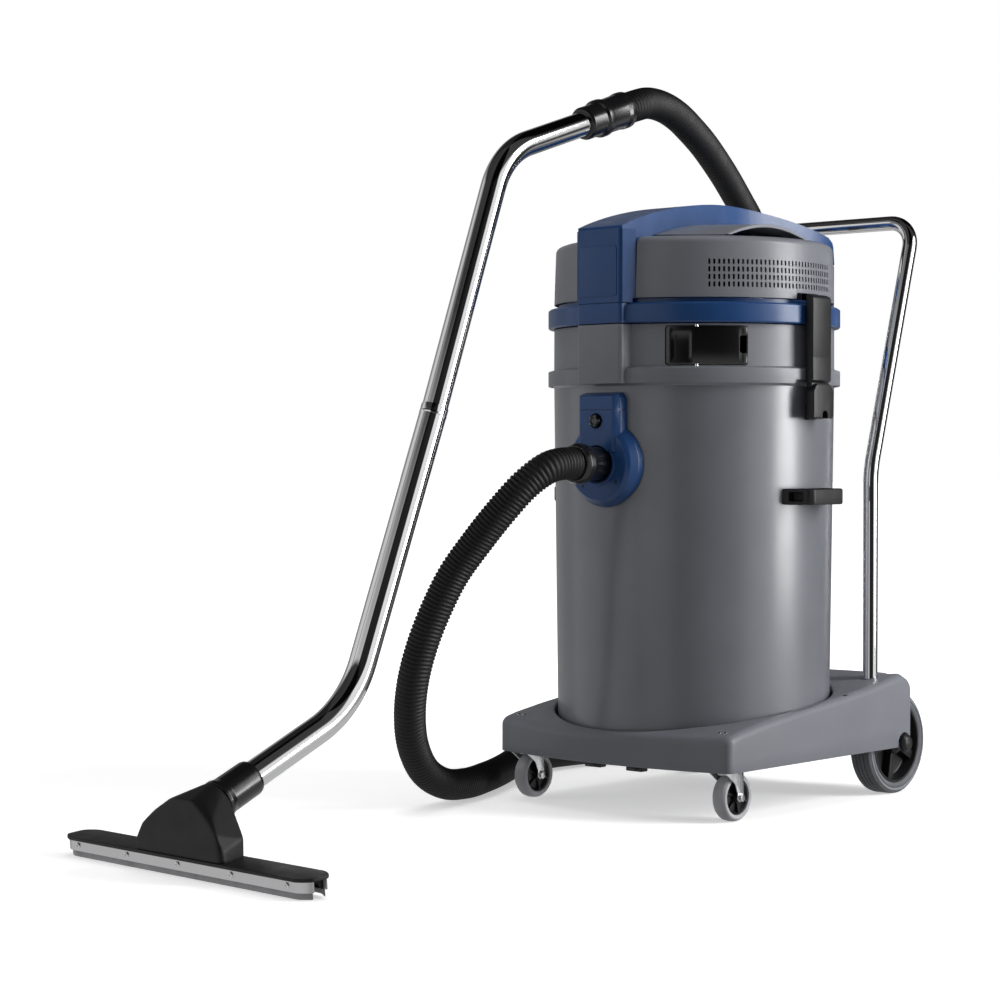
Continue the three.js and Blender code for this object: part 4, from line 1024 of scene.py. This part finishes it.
def make_spine():
    solid = boolean("INTERSECT", prism(spine_profile(), -100, 100, "x"), prism(spine_plan(0), 700, 1000))
    cheek = prism([(40, -238), (45.5, -238), (54.4, -217.8), (40, -212)], 789.4, 902)
    cheeks = [mirrored(cheek), cheek]
    solid = softened(join(solid, *cheeks), 3.2, 4, 32)
    groove = cut(block((-60, -222.5, 780), (60, -190, 796.4)), prism(circle(0, 0, 213.5, 160), 770, 800))
    piece("spine_shell", cut(solid, groove), "head", "blue", ["spine"], smooth=30)
    panel = rounded([(-36.5, 799, 5), (36.5, 799, 5), (36.5, 877, 5), (-36.5, 877, 5)])
    piece("spine_panel", prism(panel, -242.6, -236, "y", 0.6), "head", "blue", smooth=30)
    rear = prism(rounded([
        (-78.5, 229.5, 2), (78.5, 229.5, 2), (79.6, 281, 6), (72, 294.5, 6), (-72, 294.5, 6), (-79.6, 281, 6),
    ]), 800, 873.7, "z", 2.0)
    piece("rear_box", rear, "head", "shell", ["rear_block"])
    gland = rounded([
        (4.2, 286, 0), (9.4, 286, 0), (9.4, 296, 0), (14, 296, 1), (14, 301, 1.5), (8.4, 303.5, 1),
        (6.2, 322, 1.5), (4.2, 322, 0),
    ], 4)
    gland = on_line(turned(gland, 48), (0, 0, 835), (0, 1, 0))
    piece("cable_outlet", gland, "head", "black", ["cable_gland"])
    tilt = math.atan2(15, 36.7)
    for side, sign in (("right", 1), ("left", -1)):
        paddle = prism(rounded([
            (-4, -15, 0), (5.4, -15, 1), (4.2, -7, 6), (3.4, 0, 6), (4.2, 7, 6), (5.4, 15, 1), (-4, 15, 0),
        ]), -11, 11, "x", 0.8)
        paddle = rolled(paddle, tilt, (sign * 30, 287.8, 893.5))
        piece(f"rocker_{side}", paddle, f"switch_{side}", "black", [f"switch_{side}"])


def make_band():
    outline = rounded([
        (205, 757.7, 0.5), (RIM_RADIUS - 1.5, 757.7, 1), (RIM_RADIUS, 760, 1.2), (RIM_RADIUS, 786.5, 2),
        (231, 789, 1), (218, 789, 0), (218, 795.8, 0), (214.4, 795.8, 0), (214.4, 769.8, 0), (205, 769.8, 0),
    ], 4)
    shell = join(turned(outline, 224), boss(SPINE_HALF, SPINE_FRONT_Y, 757.7, 789, 216))
    piece("band_ring", shell, "head", "blue", ["head_band"])


def vent_slots():
    """Four rows of upright slots round the right side, standing ready to be cut."""
    slots = []
    shape = rounded([(-1.7, -4.2, 1.5), (1.7, -4.2, 1.5), (1.7, 4.2, 1.5), (-1.7, 4.2, 1.5)], 3)
    for z in (816.2, 827.6, 839.2, 850.8):
        for column in range(34):
            angle = math.radians(43.5 + 1.94 * column)
            radial = np.array([math.sin(angle), -math.cos(angle), 0])
            along = np.array([math.cos(angle), math.sin(angle), 0])
            rings = [[radial * r + along * u + np.array([0, 0, z + v]) for u, v in shape] for r in (205, 236)]
            slots.append(loft(rings))
    return gathered(*slots)


def make_covers():
    outline = rounded([
        (225, 796.4, 0.8), (222, 886.5, 10), (208, 891.6, 20), (150, 894.2, 60), (30, 897, 0), (30, 893, 0),
        (150, 890.4, 0), (212, 887, 6), (218, 880, 4), (221.2, 796.4, 0.8),
    ], 6)
    spine = prism(spine_plan(0.4), 700, 1000)
    away = block((-300, -300, 700), (0, 300, 1000))
    cheek = block((-10, -260, 700), (55, -190, 1000))
    tub = block((100, -94, 864), (184, 94, 889.4))
    pocket = prism(rounded([(104, -90, 8), (180, -90, 8), (180, 90, 8), (104, 90, 8)]), 868, 940)
    notch = prism(rounded([(-33, 780, 0), (33, 780, 0), (29, 806, 3), (-29, 806, 3)]), 205, 240, "x")
    cover = cut(join(turned(outline, 224), tub), pocket, notch, spine, cheek, away)
    cover = cut(softened(cover, 0.8, 2, 45), vent_slots())
    both("motor_cover", cover, "head", "shell", ["head_cover_{}"])
    # a thin black sleeve behind the vent slots: painted shade seen through them
    shade_sleeve = turned([(214.5, 806), (216, 806), (216, 862), (214.5, 862)], 160)
    both("vent_painted_shade", cut(shade_sleeve, spine, cheek, away), "head", "gloss")


def arch(x, half_span, low, height):
    """A flat bow across a plane of constant x, from one foot to the other."""
    points = []
    for t in np.linspace(-1, 1, 29):
        u = abs(t)
        y = half_span * (0.9 * u * (1 - u) + u * u)
        points.append((x, math.copysign(y, t), low + height * (1 - u * u)))
    return points


def grip_section(x, grow, rise, inner_span, inner_height):
    """The closed section of an arched grip, which gets narrower and lower away from the spine."""
    share = (x - 45) / 108
    half_span, low, height = 160 - 48 * share, 897.6 - 2.8 * share, 25.6 - 3 * share
    outer = arch(x, half_span + grow, low + rise, height)
    return outer + arch(x, half_span * inner_span, low, height * inner_height)[::-1]


def make_grips():
    stations = [grip_section(x, 0, 0, 0.955, 0.8) for x in np.linspace(45, 153, 12)]
    hood = cut(loft(stations), prism(spine_plan(0.4), 700, 1000))
    both("grip_hood", softened(hood, 0.9, 2, 50), "head", "shell", ["grip_{}"], smooth=40)
    # the grip's open edge in the paler grey: a painted highlight along the rim of the arch
    lip = loft([grip_section(x, 1, 0.9, 0.95, 0.78) for x in (147, 153.6)])
    both("grip_lip", softened(lip, 1.0, 3, 50), "head", "lip", smooth=40)


# ---- Latches -----------------------------------------------------------------------------------------------


def make_latches():
    side_view = rounded([
        (236, 612, 1), (246, 612, 1), (246, 667, 0), (250, 671, 2), (250, 799, 6), (241, 803.5, 4),
        (236, 803.5, 1),
    ])
    strap = prism(side_view, -25, 25, "y", 2.0)
    waist = [block((230, low, 600), (260, high, 667.5)) for low, high in ((-30, -22), (22, 30))]
    gap = block((230, -10.6, 600), (260, 10.6, 636))
    strap = cut(strap, *waist, gap)
    line = block((249.3, -30, 706), (252, 30, 707))
    strap = softened(cut(strap, line), 0.6, 2, 50)
    both("strap_moulded", strap, "strap_{}", "black", ["latch_strap_{}"])
    front = rounded([
        (-27.5, 612, 3), (27.5, 612, 3), (27.5, 654, 9), (18, 666, 12), (-18, 666, 12), (-27.5, 654, 9),
    ])
    lever = prism(front, 238.5, 253.5, "x", 2.4)
    notch = gathered(prism(circle(0, 630, 11.5), 230, 252.2, "x"), block((230, -11.5, 600), (252.2, 11.5, 630)))
    hole = prism(circle(3, 617, 7.5), 230, 260, "x")
    lever = cut(lever, block((230, -22.4, 600), (248, 22.4, 680)), notch, hole)
    both("lever_moulded", softened(lever, 0.6, 2, 50), "lever_{}", "black", ["latch_lever_{}"])
    ear = block((218, -9, 611), (246, 9, 631), 1.5)
    foot = cut(join(block((215, -10, 610), (232, 10, 634), 1.5), ear), drum_outside())
    pin = on_line(cylinder(3, -21.5, 21.5, 24), (240, 0, 620), (0, 1, 0))
    both("bracket_cast", join(foot, pin), "base", "black", ["latch_bracket_{}"])


# ---- Wand and floor tool -----------------------------------------------------------------------------------


def make_wand():
    for name, corners, steps, radius in (
        ("lower", [WAND_FOOT, WAND_LOW_BEND, WAND_JOINT], 30, 20.0),
        ("upper", [WAND_JOINT, WAND_HIGH_BEND, WAND_TIP], 24, 19.0),
    ):
        tube = in_tool(swept(bent(corners, steps), radius, 48))
        piece(f"wand_tube_{name}", tube, "base", "chrome", [f"wand_{name}"], smooth=60)
    run = (Vector(WAND_JOINT) - Vector(WAND_LOW_BEND[:3])).normalized()
    bead = rounded([
        (18.9, -14, 0), (20.1, -14, 0.2), (20.5, -12, 0.6), (20.1, -10, 0.2), (20.2, 0.4, 0.4), (18.9, 0.8, 0),
    ], 4)
    bead = in_tool(on_line(turned(bead, 64), WAND_JOINT, run))
    piece("wand_bead", bead, "base", "chrome", smooth=50)


def squeegee_edge(inward, side):
    """Half of the squeegee's contour at a distance in from its plate's edge."""
    straight = SQUEEGEE_STRAIGHT - inward * 0.3
    end = SQUEEGEE_HALF - inward
    depth = SQUEEGEE_DEPTH - inward
    half = [(straight * t, depth) for t in np.linspace(0, 1, 9)]
    half += bezier((straight, depth), (straight + 6, depth), (end, depth - 9), (end, SQUEEGEE_END), 7)
    return [(x, y * side) for x, y in [(-x, y) for x, y in half[:0:-1]] + half]


def contour_strip(outer, inner, side, low, high):
    """An upright strip along half of the squeegee's contour, between two distances in from its edge."""
    return prism(squeegee_edge(outer, side) + squeegee_edge(inner, side)[::-1], low, high)


def squeegee_hood():
    """The tent-shaped hood that rises from the squeegee's plate to the wand's sleeve."""
    skirt = []
    for half_front, half_rear, front, rear, front_z, rear_z in (
        (95, 81, -24, 25.5, 27, 27), (94, 80, -24, 28, 41, 52), (91, 75, -22, 28, 46, 57),
    ):
        corners = rounded([
            (-half_front, front, 7), (half_front, front, 7), (half_rear, rear, 6), (-half_rear, rear, 6),
        ], 6)
        for x, y in corners:
            share = (y - front) / (rear - front)
            skirt.append((x, y, front_z + (rear_z - front_z) * share))
    for x, y, z in ((80, -14, 20), (80, 16, 20), (79, -19, 64), (62, -10, 81), (39, 0, 97), (19, -8, 101)):
        skirt += [(x, y, z), (-x, y, z)]
    placed = on_floor((np.array(skirt), []))[0]
    up = np.array([0, -math.sin(WAND_TILT), math.cos(WAND_TILT)])
    angles = np.linspace(0, 2 * math.pi, 48, endpoint=False)
    ring = NECK_FOOT + 28.0 * (np.outer(np.cos(angles), (1, 0, 0)) + np.outer(np.sin(angles), up))
    return hull(np.vstack((placed, in_tool((ring, []))[0])))


def make_nozzle():
    plate = prism(squeegee_edge(0, -1) + squeegee_edge(0, 1)[::-1], PLATE_LOW_Z, PLATE_TOP_Z, "z", 1.4)
    rails = [contour_strip(8.4, 11.4, side, 9, PLATE_LOW_Z + 1) for side in (-1, 1)]
    piece("squeegee_plate", on_floor(join(plate, *rails)), "base", "nozzle", ["nozzle_body"])
    piece("squeegee_hood", melted(squeegee_hood(), 2.0, 7), "base", "nozzle", smooth=60)
    sleeve = fluted(
        rounded([
            (17, 0.8, 0), (28, 0.8, 1), (28, 6, 2), (25.8, 14, 3), (25.3, 61, 1), (24, 66, 1.5),
            (20.6, 66, 0.5), (20.4, 49, 0), (17, 49, 0),
        ]),
        8, 2.4, 18, 58,
    )
    sleeve = in_tool(on_line(sleeve, NECK_FOOT, WAND_DIRECTION))
    piece("squeegee_sleeve", sleeve, "base", "cuff", ["nozzle_neck"])
    for name, side in (("front", -1), ("rear", 1)):
        strip = contour_strip(2.6, 5.4, side, 9, PLATE_LOW_Z - 0.3)
        piece(f"strip_{name}", on_floor(strip), "base", "strip", [f"clamp_strip_{name}"])
        heads = [screw(4.0, 2.4, (0, side, 0), (x, side * 23.3, 17.2)) for x in (-223, -111.5, 0, 111.5, 223)]
        piece(f"strip_screws_{name}", on_floor(gathered(*heads)), "base", "screw")
        blade = contour_strip(5.9, 7.9, side, 0, PLATE_LOW_Z - 0.3)
        piece(f"blade_{name}", on_floor(blade), "base", "blade", [f"tool_blade_{name}"])


# ---- What is hidden inside ---------------------------------------------------------------------------------


def keep_inside():
    for node, material in (
        ("motor_plate", "black"), ("motor_right", "motor"), ("motor_left", "motor"), ("float_cage", "black"),
        ("float_ball", "white"),
    ):
        keep(node, material)


# ---- Floor, light and world --------------------------------------------------------------------------------


def make_floor():
    mesh = bpy.data.meshes.new("floor")
    size = 40.0
    corners = [(-size, -size, 0), (size, -size, 0), (size, size, 0), (-size, size, 0)]
    mesh.from_pydata(corners, [], [(0, 1, 2, 3)])
    floor = bpy.data.objects.new("floor", mesh)
    bpy.context.scene.collection.objects.link(floor)
    graph = Graph("floor_white")
    sockets = graph.shader.inputs
    graph.link(graph.mixed(graph.noise(2), (0.93, 0.93, 0.93), (0.95, 0.95, 0.95)), sockets["Base Color"])
    sockets["Roughness"].default_value = 0.6
    sockets["Specular IOR Level"].default_value = 0.1
    sockets["Emission Color"].default_value = (1, 1, 1, 1)
    reach = graph.add("ShaderNodeVectorMath", operation="LENGTH")
    graph.link(graph.place, reach.inputs[0])
    graph.link(graph.between(reach.outputs["Value"], 0.46, 1.0, 1.0, 2.6), sockets["Emission Strength"])
    mesh.materials.append(graph.material)
    floor.visible_diffuse = False
    floor.visible_glossy = False


def area_light(name, place, target, size, power, gloss=False):
    light = bpy.data.lights.new(name, "AREA")
    light.shape = "RECTANGLE"
    light.size, light.size_y = size
    light.energy = power
    holder = bpy.data.objects.new(name, light)
    bpy.context.scene.collection.objects.link(holder)
    centre = Vector(AXIS)
    holder.location = centre + Vector(place)
    holder.rotation_euler = (centre + Vector(target) - holder.location).to_track_quat("-Z", "Y").to_euler()
    holder.visible_glossy = gloss


def make_light():
    area_light("overhead", (-0.4, 0.2, 3.6), (0, 0, 0.3), (3.0, 3.0), 44)
    area_light("left_box", (-2.1, -2.3, 1.2), (0, 0, 0.5), (0.7, 2.4), 14)
    area_light("right_box", (2.5, 1.25, 1.3), (0, 0, 0.5), (1.0, 2.6), 98, gloss=True)


def make_world():
    """Even light for matt faces, upright bands of light for glossy ones, and plain white for the camera."""
    world = bpy.data.worlds.new("studio")
    bpy.context.scene.world = world
    world.use_nodes = True
    nodes, links = world.node_tree.nodes, world.node_tree.links
    nodes.clear()

    def add(kind, inputs, output=0):
        """A node with its inputs set to numbers or linked to other nodes' outputs."""
        node = nodes.new(kind)
        for key, value in inputs.items():
            if isinstance(value, bpy.types.NodeSocket):
                links.new(value, node.inputs[key])
            else:
                node.inputs[key].default_value = value
        return node.outputs[output]

    def ranged(value, from_min, from_max, to_min=0.0, to_max=1.0):
        limits = {"From Min": from_min, "From Max": from_max, "To Min": to_min, "To Max": to_max}
        return add("ShaderNodeMapRange", {"Value": value, **limits})

    def either(factor, first, second):
        return add("ShaderNodeMixShader", {0: factor, 1: first, 2: second})

    direction = nodes.new("ShaderNodeSeparateXYZ")
    links.new(nodes.new("ShaderNodeTexCoord").outputs["Generated"], direction.inputs["Vector"])
    azimuth = add("ShaderNodeMath", {0: direction.outputs["Y"], 1: direction.outputs["X"]})
    azimuth.node.operation = "ARCTAN2"
    bands = add("ShaderNodeValToRGB", {"Fac": ranged(azimuth, -math.pi, math.pi)}, "Color")
    ramp = bands.node.color_ramp
    while len(ramp.elements) < len(GLOSS_BANDS):
        ramp.elements.new(0.5)
    for element, (position, value) in zip(ramp.elements, GLOSS_BANDS):
        element.position = position
        element.color = (value, value, value, 1)
    height = direction.outputs["Z"]
    banded = add("ShaderNodeBackground", {"Color": bands, "Strength": ranged(height, 0.5, 0.62, 1.0, 0.06)})
    pale_floor = add("ShaderNodeBackground", {"Color": (0.8, 0.8, 0.8, 1), "Strength": 0.7})
    plain = add("ShaderNodeBackground", {"Color": (1, 1, 1, 1), "Strength": 0.26})
    white = add("ShaderNodeBackground", {"Color": (1, 1, 1, 1), "Strength": 1.0})
    path = nodes.new("ShaderNodeLightPath").outputs
    glossy = either(ranged(height, -0.12, -0.3), banded, pale_floor)
    lit = either(path["Is Glossy Ray"], plain, glossy)
    output = nodes.new("ShaderNodeOutputWorld")
    links.new(either(path["Is Camera Ray"], lit, white), output.inputs["Surface"])
    view = bpy.context.scene.view_settings
    view.view_transform = "Standard"
    view.look = "None"
    view.exposure = 0.0


# ---- Whole scene -------------------------------------------------------------------------------------------

make_camera()
make_hose()
make_trolley()
make_casters()
make_rear_wheels()
make_push_handle()
make_tank()
make_inlet()
make_collar()
make_spine()
make_band()
make_covers()
make_grips()
make_latches()
make_wand()
make_nozzle()
keep_inside()
make_floor()
make_light()
make_world()
